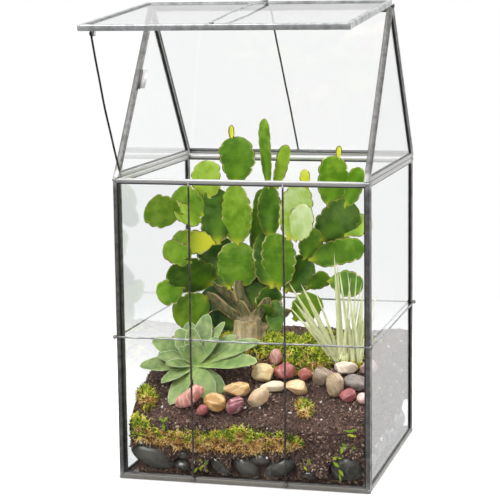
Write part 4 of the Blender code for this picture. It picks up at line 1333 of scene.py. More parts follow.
        draft = Metalwork()
        reach, head = self.half_width + self.play, 1.4 * MM
        half = [(reach + head, 1.6), (reach + head * 0.8, 2.1), (reach, 2.1), (reach - 0.05 * MM, 1.0)]
        stops = [(-x, radius) for x, radius in half] + half[::-1]
        path = [Vector((x, self.ridge.y, self.ridge.z)) for x, _ in stops]
        sweep(draft, path, [radius * MM for _, radius in stops], 20)
        pin = draft.build("ridge_pin")
        pin.data.set_sharp_from_angle(angle=0.7)
        finish_piece(pin, CASE_CAME, "aged_came", "hinge_pin")

    def add_lug(self, draft: Metalwork, lid: Matrix) -> None:
        """Add the tongue, lug and stud under the lid's front rail.

        Args:
            draft: Where they go.
            lid: Where the lid stands.
        """
        x, along, below = PROP.x + 3 * MM, PROP.along, PROP.below
        draft.slab(lid, (x - 1 * MM, -self.lid_length + self.came_width / 2, self.play),
                   (x + 4 * MM, -along + 3 * MM, self.play + 1 * MM))
        draft.slab(lid, (x - 0.6 * MM, -along - 3 * MM, -below - 2.4 * MM),
                   (x + 0.6 * MM, -along + 3 * MM, self.play + 0.6 * MM))
        stud = [lid @ Vector((end, -along, -below)) for end in (x, PROP.x - 1.5 * MM)]
        sweep(draft, stud, PROP.stud_radius, 14)

    def build_wires(self) -> None:
        """Ring round the case and the two uprights on its front, with beads at the joints."""
        off = self.play + self.wire_radius
        front, side = -self.half_depth - off, self.half_width + off
        ring = Metalwork()
        corners = [Vector((x, y, self.ring_height))
                   for x, y in ((-side, front), (side, front), (side, -front), (-side, -front))]
        for index, start in enumerate(corners):
            path = []
            for share in shares(24):
                sag = Vector((0, 0, 0.35 * MM * sin(share * 9 + index)))
                path.append(start.lerp(corners[(index + 1) % 4], share) + sag * sin(pi * share))
            sweep(ring, path, self.wire_radius * 0.9, 12)
            ring.bead(start, (1.9, 1.9, 2.1), index)
        ring.metal("ring_wire", RING_WIRE, "wire_grid")

        uprights = Metalwork()
        low, high = self.sill_width / 2, self.wall_height - self.came_width / 2
        for place in self.front_wires:
            path = [Vector((place + 0.3 * MM * sin(share * 7 + place * 100), front,
                            low + (high - low) * share)) for share in shares(48)]
            sweep(uprights, path, self.wire_radius * 0.95, 12)
            for height, radii in ((low, (2.3, 1.3, 2.3)), (self.ring_height, (2.3, 1.3, 2.3)),
                                  (high - 1 * MM, (2.1, 1.0, 1.6))):
                uprights.bead(Vector((place, front, height)), radii, height * 30 + place * 70)
        uprights.metal("upright_wires", UPRIGHT_WIRE, "wire_grid")

    def build_catch(self) -> None:
        """Catch plate inside the left gable's front edge, with its pale tab."""
        angle = self.slope_angle
        up_slope = Vector((0, cos(angle), sin(angle)))
        inward = Vector((0, sin(angle), -cos(angle)))
        middle = self.ridge - up_slope * 85 * MM + inward * 3.2 * MM
        middle.x = -self.half_width + self.came_depth + self.play
        matrix = facing(middle, -up_slope, inward)
        strip, tab = Metalwork(), Metalwork()
        strip.slab(matrix, Vector((-11, -2.4, 0)) * MM, Vector((11, 1.8, 1.1)) * MM)
        dot = [matrix @ Vector((8 * MM, 0.6 * MM, height * MM)) for height in (0.3, 1.7, 1.9)]
        sweep(strip, dot, [1.5 * MM, 1.4 * MM, 0.9 * MM], 14)
        strip.metal("catch_strip", DARK_WIRE, "catch_plate", slot="dark_wire")
        tab.slab(matrix, Vector((-10.6, -0.6, 1.1)) * MM, Vector((10.6, 0.4, 6.6)) * MM)
        tab.metal("catch_tab", CATCH_TAB, "catch_plate", slot="dark_wire")

    def build(self, nodes: dict) -> None:
        """Make the whole case, and dress the glass and the pan, which keep their own shape.

        Args:
            nodes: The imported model's objects by name.
        """
        self.build_walls()
        self.build_roof()
        self.build_wires()
        self.build_catch()
        for name in ("front", "back", "left", "right", "left_gable", "right_gable", "back_slope", "lid"):
            GLASS.dress(nodes[name + "_glass"])
        PAN_SHEET.dress(nodes["base_pan"])


@dataclass(frozen=True)
class Prop:
    """Bent wire that holds the lid open."""

    x: float = -119.2 * MM
    along: float = 193 * MM
    below: float = 3.2 * MM
    stud_radius: float = 0.8 * MM
    radius: float = 1 * MM
    eye_radius: float = 1.9 * MM
    bow: float = 4 * MM
    foot_lift: float = 0.6 * MM

    def build(self, case: Case, joint: dict) -> None:
        """Make the wire, its eye round the stud and its rounded foot.

        Args:
            case: The case, for the front rail's place.
            joint: The prop's joint, at the stud.
        """
        stud = Vector(joint["pos_m"])
        rail = case.wall_height + self.foot_lift + self.radius
        run = Vector((self.x, -case.half_depth + case.came_depth / 2, rail)) - stud
        bow = Vector((0, run.z, -run.y)).normalized()
        start = self.eye_radius / run.length
        draft, path = Metalwork(), []
        for step in range(49):
            share = start + (1 - start) * step / 48
            kink = 0.35 * MM * sin(share * 16) * sin(pi * share)
            path.append(stud + run * share + bow * (self.bow * sin(pi * share) + kink))
        sweep(draft, path, [self.radius] * 48 + [self.radius * 0.7], 14)
        rows = []
        for turn in turns(28):
            out = Vector((0, cos(turn), sin(turn)))
            rows.append([draft.point(stud + out * (self.eye_radius + cos(angle) * 0.75 * MM)
                                     + Vector((sin(angle) * 0.9 * MM, 0, 0))) for angle in turns(12)])
        draft.skin(rows, around=True)
        draft.metal("prop_wire", DARK_WIRE, "lid_prop", slot="dark_wire", body=Body.PROP)


PROP = Prop()


# Bed


@dataclass
class Bed:
    """Soil, drainage stones, moss and river pebbles."""

    case: Case
    strewing: Strewing
    left_gap: float = 4 * MM
    pan_depth: float = 2 * MM
    stone_top: float = 39 * MM
    front_top: float = 64 * MM
    rise: float = 49 * MM
    trunk_place: tuple[float, float] = (-26 * MM, 5 * MM)
    knoll_height: float = 9 * MM
    knoll_spread: float = 34 * MM
    side_stones: int = 7
    stone_half_depth: float = 9 * MM

    @property
    def left(self) -> float:
        """Left edge of the bed."""
        return -self.case.half_width + self.case.came_depth + self.left_gap

    @property
    def right(self) -> float:
        """Right edge of the bed."""
        return self.case.half_width - self.case.came_depth - self.case.play

    @property
    def front(self) -> float:
        """Front edge of the bed."""
        return -self.case.half_depth + self.case.came_depth + self.case.play

    def ground(self, x: float, y: float) -> float:
        """Height of the soil's surface.

        Args:
            x: Place across.
            y: Place from front to back.

        Returns:
            The height.
        """
        inner = self.case.half_depth - self.case.came_depth
        run = min(max((y + inner) / inner, 0), 1)
        away = (x - self.trunk_place[0]) ** 2 + (y - self.trunk_place[1]) ** 2
        knoll = self.knoll_height * exp(-away / (2 * self.knoll_spread ** 2))
        ripple = 1.2 * MM * sin(x * 70) * cos(y * 60)
        return self.front_top + self.rise * run + knoll + ripple

    def crumbly(self, place: Vector) -> float:
        """Unevenness of the soil at a point, in metres."""
        return (1.7 * waver(place, 0.018) + 1.1 * waver(place, 0.007, 3) + 0.6 * waver(place, 0.003, 7)) * MM

    def shoulder(self, x: float, y: float) -> float:
        """How far the soil slumps where it meets the front glass."""
        away = (y - self.front) / MM
        return (6 + 3 * waver(Vector((x, 0, 0)), 0.03, 2)) * MM * (1 - smooth_step(away / 20)) ** 1.5

    def stone_line(self, x: float) -> float:
        """Height down to which the soil fills the gaps between the front stones.

        Args:
            x: Place across.

        Returns:
            The height just under the stones' tops, or near the pan between them.
        """
        line = 11 * MM
        if x < self.left + 4 * MM:
            return self.stone_top - 8 * MM
        for middle, height, long, short, tilt in FRONT_STONES:
            turn = radians(tilt)
            reach = (long * cos(turn)) ** 2 + (short * sin(turn)) ** 2
            away = x / MM - middle
            if away * away < reach:
                slant = away * (long * long - short * short) * sin(turn) * cos(turn) / reach
                crest = height - slant + long * short * sqrt(reach - away * away) / reach
                line = max(line, (crest - 1.2) * MM)
        return min(line, self.stone_top)

    def soil_lump(self) -> Thing:
        """Lump of soil with an uneven top and sides.

        Returns:
            The lump, loose where grains may lie.
        """
        draft = Draft(Channel.LOOSE, Channel.TINT)
        across, deep, levels = 120, 112, 18
        grid = []
        for row in range(deep + 1):
            y = self.front + (-2 * self.front) * row / deep
            line = []
            for column in range(across + 1):
                x = self.left + (self.right - self.left) * column / across
                place = Vector((x, y, self.ground(x, y)))
                place.z += self.crumbly(place) - self.shoulder(x, y)
                line.append(draft.point(place, loose=(1.0 if y < 0 else 0.3) * 0.55))
            grid.append(line)
        draft.skin(grid, loops=False)
        rings = [grid[0][:-1] + [line[-1] for line in grid[:-1]]
                 + grid[-1][:0:-1] + [line[0] for line in grid[:0:-1]]]
        middle, low = (self.left + self.right) / 2, self.stone_top + self.case.play
        for level in range(1, levels + 1):
            ring = []
            for top in [draft.points[index] for index in rings[0]]:
                at_front, at_end = top.y < self.front + 1 * MM, abs(top.y) >= -self.front - 0.1 * MM
                hang = 2.5 * MM * waver(Vector((top.x, top.y, 0)), 0.016, 5)
                foot = self.stone_line(top.x) if at_front else low
                place = Vector((top.x, top.y, top.z + (foot - hang - top.z) * level / levels))
                shift = min(self.crumbly(place), 0.6 * MM) - 0.4 * MM
                out = Vector((0 if at_end else copysign(1, top.x - middle),
                              copysign(1, top.y) if at_end else 0, 0))
                ring.append(draft.point(place + out * shift, loose=1.0 if at_front else 0.3))
            rings.append(ring)
        draft.skin(rings)
        draft.faces.append(tuple(rings[-1]))
        return draft.build("soil_lump")

    def build_soil(self) -> None:
        """Soil with its crumbs, bark and perlite, and what fell on the pan inside the front glass."""
        lump = self.soil_lump()
        grains = self.strewing.strew_all(lump, ON_SOIL)
        finish_piece(lump, SOIL, "soil", "soil")
        draft = Draft(Channel.LOOSE)
        rows = []
        front = self.front
        for y, z in ((front - 1.2 * MM, 7.2 * MM), (front + 4 * MM, 7.6 * MM), (front + 14 * MM, 9 * MM)):
            row = []
            for step in range(40):
                x = self.left + (self.right - self.left) * step / 39
                row.append(draft.point(Vector((x, y, z - 0.8 * MM * sin(x * 90))), loose=1.0))
            rows.append(row)
        draft.skin(rows, loops=False)
        tray = draft.build("spill_tray")
        grains += self.strewing.strew_all(tray, ON_PAN)
        put_away(tray)
        for piece in grains:
            finish_piece(piece, None, "soil")

    def build_stones(self) -> None:
        """Polished black stones round the foot of the bed, over a core of soil."""
        rng = random.Random(7)
        low, deep = self.pan_depth + self.case.play, self.stone_half_depth
        placed = [(Vector((x * MM, self.front + deep, z * MM)), Vector((wide * MM, deep, tall * MM)),
                   radians(tilt)) for x, z, wide, tall, tilt in FRONT_STONES]
        for fixed, start, end, on_side in (
                (-self.front - deep, self.left + 19 * MM, self.right - 19 * MM, False),
                (self.left + deep, self.front + 34 * MM, -self.front - 20 * MM, True),
                (self.right - deep, self.front + 44 * MM, -self.front - 20 * MM, True)):
            for index in range(self.side_stones):
                along = start + (end - start) * index / (self.side_stones - 1)
                long, tall = rng.uniform(12, 19) * MM, rng.uniform(8, 13) * MM
                height = low + tall + rng.uniform(2, 10) * MM
                if on_side:
                    placed.append((Vector((fixed, along, height)), Vector((deep, long, tall)), 0.0))
                else:
                    placed.append((Vector((along, fixed, height)), Vector((long, deep, tall)),
                                   0.25 * sin(index * 2.1)))
        stones = [pebble_shape("stone", centre, radii, 0, index * 1.7, 0.05, tilt=tilt)
                  for index, (centre, radii, tilt) in enumerate(placed)]
        finish_piece(join("polished_stones", stones), BLACK_STONE, "black_stone", "drainage_stones")
        core = Draft(Channel.TINT)
        left, right, front = self.left + 5 * MM, self.right - 5 * MM, self.front + 9 * MM
        corners = ((left, front), (right, front), (right, -front), (left, -front))
        rows = []
        for level in range(9):
            z = low + (self.stone_top + 1 * MM - low) * level / 8
            row = []
            for index, corner in enumerate(corners):
                first, second = Vector((*corner, z)), Vector((*corners[(index + 1) % 4], z))
                for step in range(30):
                    place = first.lerp(second, step / 30)
                    row.append(core.point(place + Vector((1, 1, 0)) * self.crumbly(place)))
            rows.append(row)
        core.loft(rows)
        core.piece("soil_core", SOIL, "soil", "drainage_stones")

    def moss_base(self) -> Thing:
        """Flattened cushion of the moss band on the front glass.

        Returns:
            The cushion, loose where sprigs grow.
        """
        draft = Draft(Channel.LOOSE, Channel.TINT)
        inner = -self.case.half_depth + self.case.came_depth
        rows = []
        for share in shares(60):
            x = -113 * MM + 173 * MM * share
            swell, turned_up = smooth_step((share - 0.3) / 0.25), (1 - share) ** 9
            z = (40.5 + 3.5 * swell + 13 * turned_up + 1.2 * sin(share * 23)) * MM
            size = (8 + 4.5 * swell + 6 * turned_up) * MM
            size *= 0.95 + 0.15 * cos(share * 19) - 0.35 * share ** 5
            size *= sqrt(max(0.05, min(1.0, 0.6 + 16 * share, 10 * (1 - share))))
            row = []
            for angle in turns(22):
                place = Vector((x, inner + cos(angle) * size * 0.5, z + sin(angle) * size * 0.9))
                place.y = max(place.y, self.front + 0.6 * MM) + 0.4 * MM * waver(place, 0.004)
                place.x = max(place.x, self.left - 2.5 * MM)
                # The base's dark tint is painted shade between the sprigs.
                row.append(draft.point(place, loose=1.0 if cos(angle) < 0.45 else 0.0, tint=0.04))
            rows.append(row)
        draft.loft(rows)
        return draft.build("moss_band_base")

    def moss_cushion(self, name: str, middle: tuple[float, float], spread: float, height: float,
                     count: int, seed: int) -> Thing:
        """Low cushions of moss round a middle.

        Args:
            name: Name of the base.
            middle: Its middle.
            spread: How far the cushions lie apart.
            height: Height of a cushion.
            count: Number of cushions.
            seed: Seed of their sizes.

        Returns:
            The cushions as one object.
        """
        rng = random.Random(seed)
        cushions = []
        for index in range(count):
            angle, out = index * GOLDEN_ANGLE, spread * sqrt(index / count)
            x, y = middle[0] + out * cos(angle) * 1.5, middle[1] + out * sin(angle)
            wide, tall = rng.uniform(0.5, 0.7) * spread, height * rng.uniform(0.8, 1.1)
            place, size = Vector((x, y, self.ground(x, y) + 1 * MM)), Vector((wide * 1.3, wide, tall)) * 0.94
            cushions.append(pebble_shape("cushion", place, size, angle, seed + index, 0.12, 3))
        base = join(name, cushions)
        places = [point.co for point in base.data.vertices]
        loose = [1.0 if place.z > self.ground(place.x, place.y) - 1 * MM else 0.0 for place in places]
        # The bases' dark tint is painted shade between the sprigs.
        for channel, values in ((Channel.LOOSE, loose), (Channel.TINT, [0.04] * len(places))):
            base.data.attributes.new(channel.value, "FLOAT", "POINT").data.foreach_set("value", values)
        return base

    def build_moss(self) -> None:
        """Moss band and moss patches, each a base painted dark as the shade between its sprigs, covered in
        sprigs.
        """
        patches = [("moss_band", self.moss_base(), BAND_MOSS, 330000)]
        for name, form in MOSS_PATCHES.items():
            fibre = MOUND_MOSS if name == "moss_mound" else TUFT_MOSS
            patches.append((name, self.moss_cushion(name + "_base", *form), fibre, 380000))
        for index, (node, base, fibre, density) in enumerate(patches):
            scatter = Scatter("sprig", fibre, density, (0.5, 0.5, 0.5), (1.15, 1.15, 1.2), 1.1,
                              -0.3 * MM, 40 + index)
            finish_piece(self.strewing.strew(node + "_sprigs", base, scatter), None, "moss", node)
            finish_piece(base, fibre, "moss", node)

    def build_stray_moss(self) -> None:
        """Loose sprigs round the trunk and over the soil behind the pebbles."""
        draft = Draft(Channel.LOOSE)
        rows = []
        for row in range(25):
            line = []
            for column in range(41):
                x, y = -110 * MM + 5.4 * MM * column, -44 * MM + 5.4 * MM * row
                trunk = hypot(x - self.trunk_place[0] - 4 * MM, y - self.trunk_place[1] + 10 * MM)
                near = smooth_step(1 - (trunk - 12 * MM) / (34 * MM))
                patchy = smooth_step(waver(Vector((x, y, 0)), 0.03, 9) * 2 + 0.1)
                place = Vector((x, y, self.ground(x, y) + 0.6 * MM))
                line.append(draft.point(place, loose=max(near, patchy * 0.7)))
            rows.append(line)
        draft.skin(rows, loops=False)
        patch = draft.build("stray_field")
        stray = self.strewing.strew("stray_moss", patch, STRAY_MOSS)
        put_away(patch)
        finish_piece(stray, None, "moss")

    def build_leaf_bits(self) -> None:
        """Fresh green bits of leaf that hang on the stones and the soil inside the front glass."""
        rng = random.Random(31)
        draft = Draft(*LEAF_CHANNELS)
        for x, z, count in LEAF_BITS:
            for _ in range(count):
                foot = Vector((x * MM + rng.uniform(-4, 4) * MM, self.front + rng.uniform(0.2, 1.0) * MM,
                               z * MM + rng.uniform(-4, 4) * MM))
                leaf = LeafShape(rng.uniform(0, tau), rng.uniform(5, 10) * MM, rng.uniform(2, 3.6) * MM,
                                 0.1, 0.3, 0.5 * MM, 0.5, 0.3, 0.6, 8, 8)
                add_leaf(draft, foot, Vector((0, -1, 0)), leaf, 0.0, rng.uniform(0.3, 0.75))
        draft.piece("leaf_bits", LEAF_BIT, "moss")

    def build_pebbles(self) -> None:
        """River pebbles, each with its own colours and veins."""
        for index, (name, pebble) in enumerate(PEBBLES.items()):
            low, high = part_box("pebble_" + name)
            radii = Vector((pebble.half_width, pebble.half_depth, pebble.half_height)) * 1.08 * MM
            stone = pebble_shape("river_pebble_" + name, (low + high) / 2, radii, 0.5 * sin(index * 2.4),
                                 index * 3.1, 0.12, tilt=radians(pebble.tilt), facets=7)
            finish = Stone("pebble_" + name, pebble.base, pebble.cloud, pebble.vein, pebble.vein_share,
                           pebble.band_scale, (0.4 * index, 0.7 * index, 0.3 * index))
            finish_piece(stone, finish, "pebble_" + name, "pebble_" + name)

    def build(self) -> None:
        """Make the whole bed."""
        self.build_stones()
        self.build_soil()
        self.build_moss()
        self.build_stray_moss()
        self.build_leaf_bits()
        self.build_pebbles()
        put_away(*self.strewing.grains.values())


# Front row of drainage stones: place from the left, height, half width and half height in mm,
# and tilt in degrees, down to the right
FRONT_STONES = (
    (-96, 22, 24, 12, 16), (-64, 26, 9, 6, 8), (-64, 14, 10, 6, 10), (-26, 16, 14, 8, 46),
    (1, 16, 15, 10, 38), (16, 26, 13, 7, -6), (36, 18, 20, 9, -30), (65, 13, 9, 6, 4),
    (102, 21, 18, 14, -8),
)

# Bits of leaf on the front glass: place from the left, height and number
LEAF_BITS = ((-44, 15, 5), (63, 21, 2), (88, 29, 3), (96, 17, 2), (104, 44, 3), (110, 57, 3), (-84, 60, 3))

# Moss patches: middle, spread, height, number of cushions and seed
MOSS_PATCHES = {
    "moss_mound": ((31 * MM, -14 * MM), 18 * MM, 15 * MM, 6, 3),
    "moss_tuft_left": ((-104 * MM, -92 * MM), 8 * MM, 11 * MM, 3, 5),
    "moss_tuft_right": ((58 * MM, -92 * MM), 7.5 * MM, 5 * MM, 3, 8),
}


@dataclass(frozen=True)
class Pebble:
    """Half sizes in millimetres and colours of one river pebble."""

    half_width: float
    half_depth: float
    half_height: float
    base: Colour
    cloud: Colour
    vein: Colour
    vein_share: float = 0.25
    band_scale: float = 130.0
    tilt: float = 0.0


PEBBLES = {
    "pink": Pebble(16.5, 9.5, 7.8, (0.44, 0.15, 0.12), (0.58, 0.28, 0.22), (0.74, 0.48, 0.42), 0.3, 130, -38),
    "red_chip": Pebble(6, 4.5, 4.5, (0.40, 0.12, 0.11), (0.30, 0.07, 0.07), (0.5, 0.2, 0.18), tilt=-30),
    "orange": Pebble(11.5, 9, 8.5, (0.50, 0.27, 0.08), (0.36, 0.17, 0.05), (0.74, 0.52, 0.26), 0.4, 90, 4),
    "yellow": Pebble(13.5, 10, 7.5, (0.70, 0.46, 0.20), (0.56, 0.34, 0.13), (0.86, 0.70, 0.45), 0.3, 100),
    "plum": Pebble(10, 8, 7.5, (0.22, 0.06, 0.08), (0.32, 0.11, 0.12), (0.66, 0.48, 0.44), 0.25, 120, -42),
    "sand": Pebble(12.5, 9, 9, (0.74, 0.55, 0.28), (0.82, 0.68, 0.42), (0.62, 0.38, 0.16), 0.25, 80),
    "cream": Pebble(12, 7, 5.5, (0.82, 0.72, 0.54), (0.74, 0.60, 0.42), (0.66, 0.40, 0.26), 0.2),
    "tan": Pebble(13, 9, 8, (0.66, 0.48, 0.30), (0.54, 0.35, 0.20), (0.82, 0.68, 0.50), 0.3, 90, -32),
    "brick": Pebble(10.5, 8, 8, (0.36, 0.09, 0.09), (0.46, 0.15, 0.14), (0.60, 0.34, 0.30), 0.2),
    "rose": Pebble(7, 6.5, 7.5, (0.62, 0.32, 0.28), (0.52, 0.24, 0.20), (0.78, 0.58, 0.50), 0.3),
    "peach": Pebble(12.5, 8, 7, (0.80, 0.62, 0.34), (0.70, 0.44, 0.24), (0.60, 0.26, 0.16), 0.3, 100),
    "russet": Pebble(6.5, 6, 6.5, (0.44, 0.13, 0.11), (0.34, 0.09, 0.07), (0.58, 0.32, 0.26), 0.2),
    "umber": Pebble(9.5, 8.5, 9, (0.24, 0.17, 0.12), (0.34, 0.25, 0.17), (0.50, 0.42, 0.34), 0.3, 160),
    "striped": Pebble(8.5, 8, 12, (0.52, 0.40, 0.26), (0.42, 0.31, 0.19), (0.24, 0.16, 0.09), 0.45, 210),
    "shell": Pebble(12, 7.5, 6, (0.72, 0.60, 0.46), (0.64, 0.50, 0.38), (0.84, 0.76, 0.64), 0.3),
    "mauve": Pebble(6.5, 6.5, 7.5, (0.34, 0.20, 0.20), (0.44, 0.29, 0.28), (0.58, 0.45, 0.42), 0.3),
    "slate": Pebble(11.5, 9, 8.5, (0.17, 0.14, 0.12), (0.25, 0.21, 0.18), (0.38, 0.34, 0.30), 0.3, 160),
    "scarlet": Pebble(8.5, 7, 6, (0.36, 0.10, 0.10), (0.28, 0.07, 0.07), (0.56, 0.28, 0.26), 0.2, 130, -25),
    "blush": Pebble(6, 6, 5.5, (0.70, 0.48, 0.42), (0.60, 0.36, 0.32), (0.84, 0.70, 0.62), 0.3),
    "bead": Pebble(3.5, 3.5, 3, (0.62, 0.34, 0.32), (0.52, 0.26, 0.24), (0.74, 0.54, 0.50), 0.3),
}


# Plants


@dataclass(frozen=True)
class Pad:
    """One pad: its parent, place on it, size in millimetres, turns in degrees and colour, which holds painted
    light and shade.
    """

    parent: str
    along: float
    across: float
    length: float
    width: float
    tilt: float
    lean: float
    twist: float
    tone: float
    yellow: float = 0.0


# The ninth value of each pad paints light and shade as well as its own green: low for pads behind, as painted
# shade, and highest for right_pale and right_white, as the painted sheen of light on their waxy skin.
PADS = {
    "crown": Pad("trunk", 1.0, 0.0, 48, 42, 0, 2, 8, 0.5),
    "crown_high": Pad("crown", 0.96, 0.0, 63, 35, 1, 6, -12, 0.6),
    "crown_tip": Pad("crown_high", 1.0, 0.05, 49, 38, -1, -8, 6, 0.4),
    "crown_bud": Pad("crown_tip", 0.95, -0.3, 14, 6, 0, 0, 0, 0.8, 0.9),
    "left_tall": Pad("crown", 1.0, -0.95, 56, 34, -6, -8, 12, 0.3),
    "left_tall_tip": Pad("left_tall", 0.84, -0.4, 38, 34, -5, -6, -10, 0.68, 0.15),
    "left_upper": Pad("left_tall", 0.52, -0.8, 38, 31, -48, 8, 18, 0.56),
    "left_edge": Pad("left_tall", 0.42, -1.0, 42, 24, -50, 56, 60, 0.72),
    "left_far": Pad("left_edge", 0.76, -0.3, 39, 36, -70, 36, -12, 0.58),
    "left_arm": Pad("crown", 0.98, -1.2, 44, 26, -84, 30, 10, 0.58, 0.95),
    "left_low": Pad("trunk", 1.05, -2.1, 54, 46, -56, 40, -14, 0.3),
    "left_low_tip": Pad("left_low", 0.76, 0.7, 32, 25, -55, 26, 30, 0.6),
    "left_low_end": Pad("left_low", 0.5, -0.8, 29, 28, -116, 40, 15, 0.5),
    "left_droop": Pad("trunk", 0.78, -2.8, 42, 38, -132, 24, -20, 0.58),
    "left_back": Pad("trunk", 1.0, -0.8, 56, 44, -24, -16, 24, 0.16),
    "right_foot": Pad("trunk", 0.3, 1.6, 42, 28, 12, 4, 20, 0.24),
    "right_front": Pad("right_foot", 0.98, 0.5, 59, 40, 3, 10, -10, 0.47),
    "right_shade": Pad("right_foot", 1.0, 0.0, 56, 34, -8, -10, 16, 0.3),
    "right_spire": Pad("right_shade", 0.9, 0.15, 54, 25, -1, -4, 24, 0.36),
    "right_spire_tip": Pad("right_spire", 0.97, -0.05, 70, 20, -3, 0, -40, 0.5),
    "right_spire_side": Pad("right_spire", 0.98, 0.6, 44, 14, 15, 0, 10, 0.64, 0.1),
    "right_pale": Pad("right_front", 0.95, 0.6, 56, 33, 12, -8, 18, 0.82),
    "right_pale_bud": Pad("right_pale", 0.97, 0.3, 18, 11, -2, 0, 0, 0.75, 0.6),
    "right_white": Pad("right_front", 0.95, 0.95, 40, 31, 26, 14, -22, 0.96),
    "right_branch": Pad("right_foot", 0.95, 1.1, 42, 36, 40, 0, -16, 0.27),
    "right_bright": Pad("right_branch", 0.92, -0.35, 34, 26, 18, 6, 26, 0.52),
    "right_dark": Pad("right_bright", 0.66, 0.7, 52, 40, 44, -6, 12, 0.3),
    "right_high": Pad("right_dark", 0.62, -0.85, 52, 32, 6, -6, 14, 0.5),
    "right_high_bud": Pad("right_high", 0.95, 0.2, 13, 6, 4, 0, 0, 0.8, 0.9),
    "right_high_side": Pad("right_dark", 0.85, -0.35, 42, 27, 26, 2, -28, 0.44),
    "right_dark_end": Pad("right_dark", 0.45, 0.75, 28, 23, 56, -14, -15, 0.7),
    "right_wide": Pad("right_branch", 1.0, 0.0, 58, 28, 74, 2, -8, 0.46),
    "right_small": Pad("right_branch", 0.45, 0.9, 27, 19, 58, 8, 22, 0.38),
    "right_small_end": Pad("right_small", 0.9, 0.6, 36, 27, 100, 6, -16, 0.42),
    "back_low": Pad("trunk", 0.3, -1.2, 46, 38, -34, -14, 10, 0.14),
    "back_middle": Pad("trunk", 0.5, 0.75, 54, 32, 6, -12, 10, 0.12),
    "right_low": Pad("right_foot", 0.25, 2.2, 38, 30, 44, 14, 16, 0.58),
    "shade_left": Pad("trunk", 0.26, -0.6, 34, 22, -72, 10, 8, 0.02),
    "stump_right": Pad("trunk", 0.28, 0.7, 36, 20, 42, 26, 14, 0.26),
    "hang_right": Pad("trunk", 0.8, 2.7, 36, 19, 166, 24, -12, 0.34),
    "back_spire": Pad("crown", 0.55, 0.95, 76, 20, 1, -12, -10, 0.4),
}

# Woody limbs from the trunk's foot, each a list of points in millimetres
LIMBS = (
    ((4, -9, 19), (0, -12, 30), (-8, -11, 42)),
    ((8, -8, 21), (17, -11, 33), (26, -10, 46)),
    ((-3, -6, 19), (-20, -8, 31), (-43, -4, 48)),
    ((4, -1, 8), (18, -2, 16), (33, 1, 26), (45, 3, 31)),
    ((-1, 1, 20), (-14, 2, 40), (-38, 0, 58)),
)


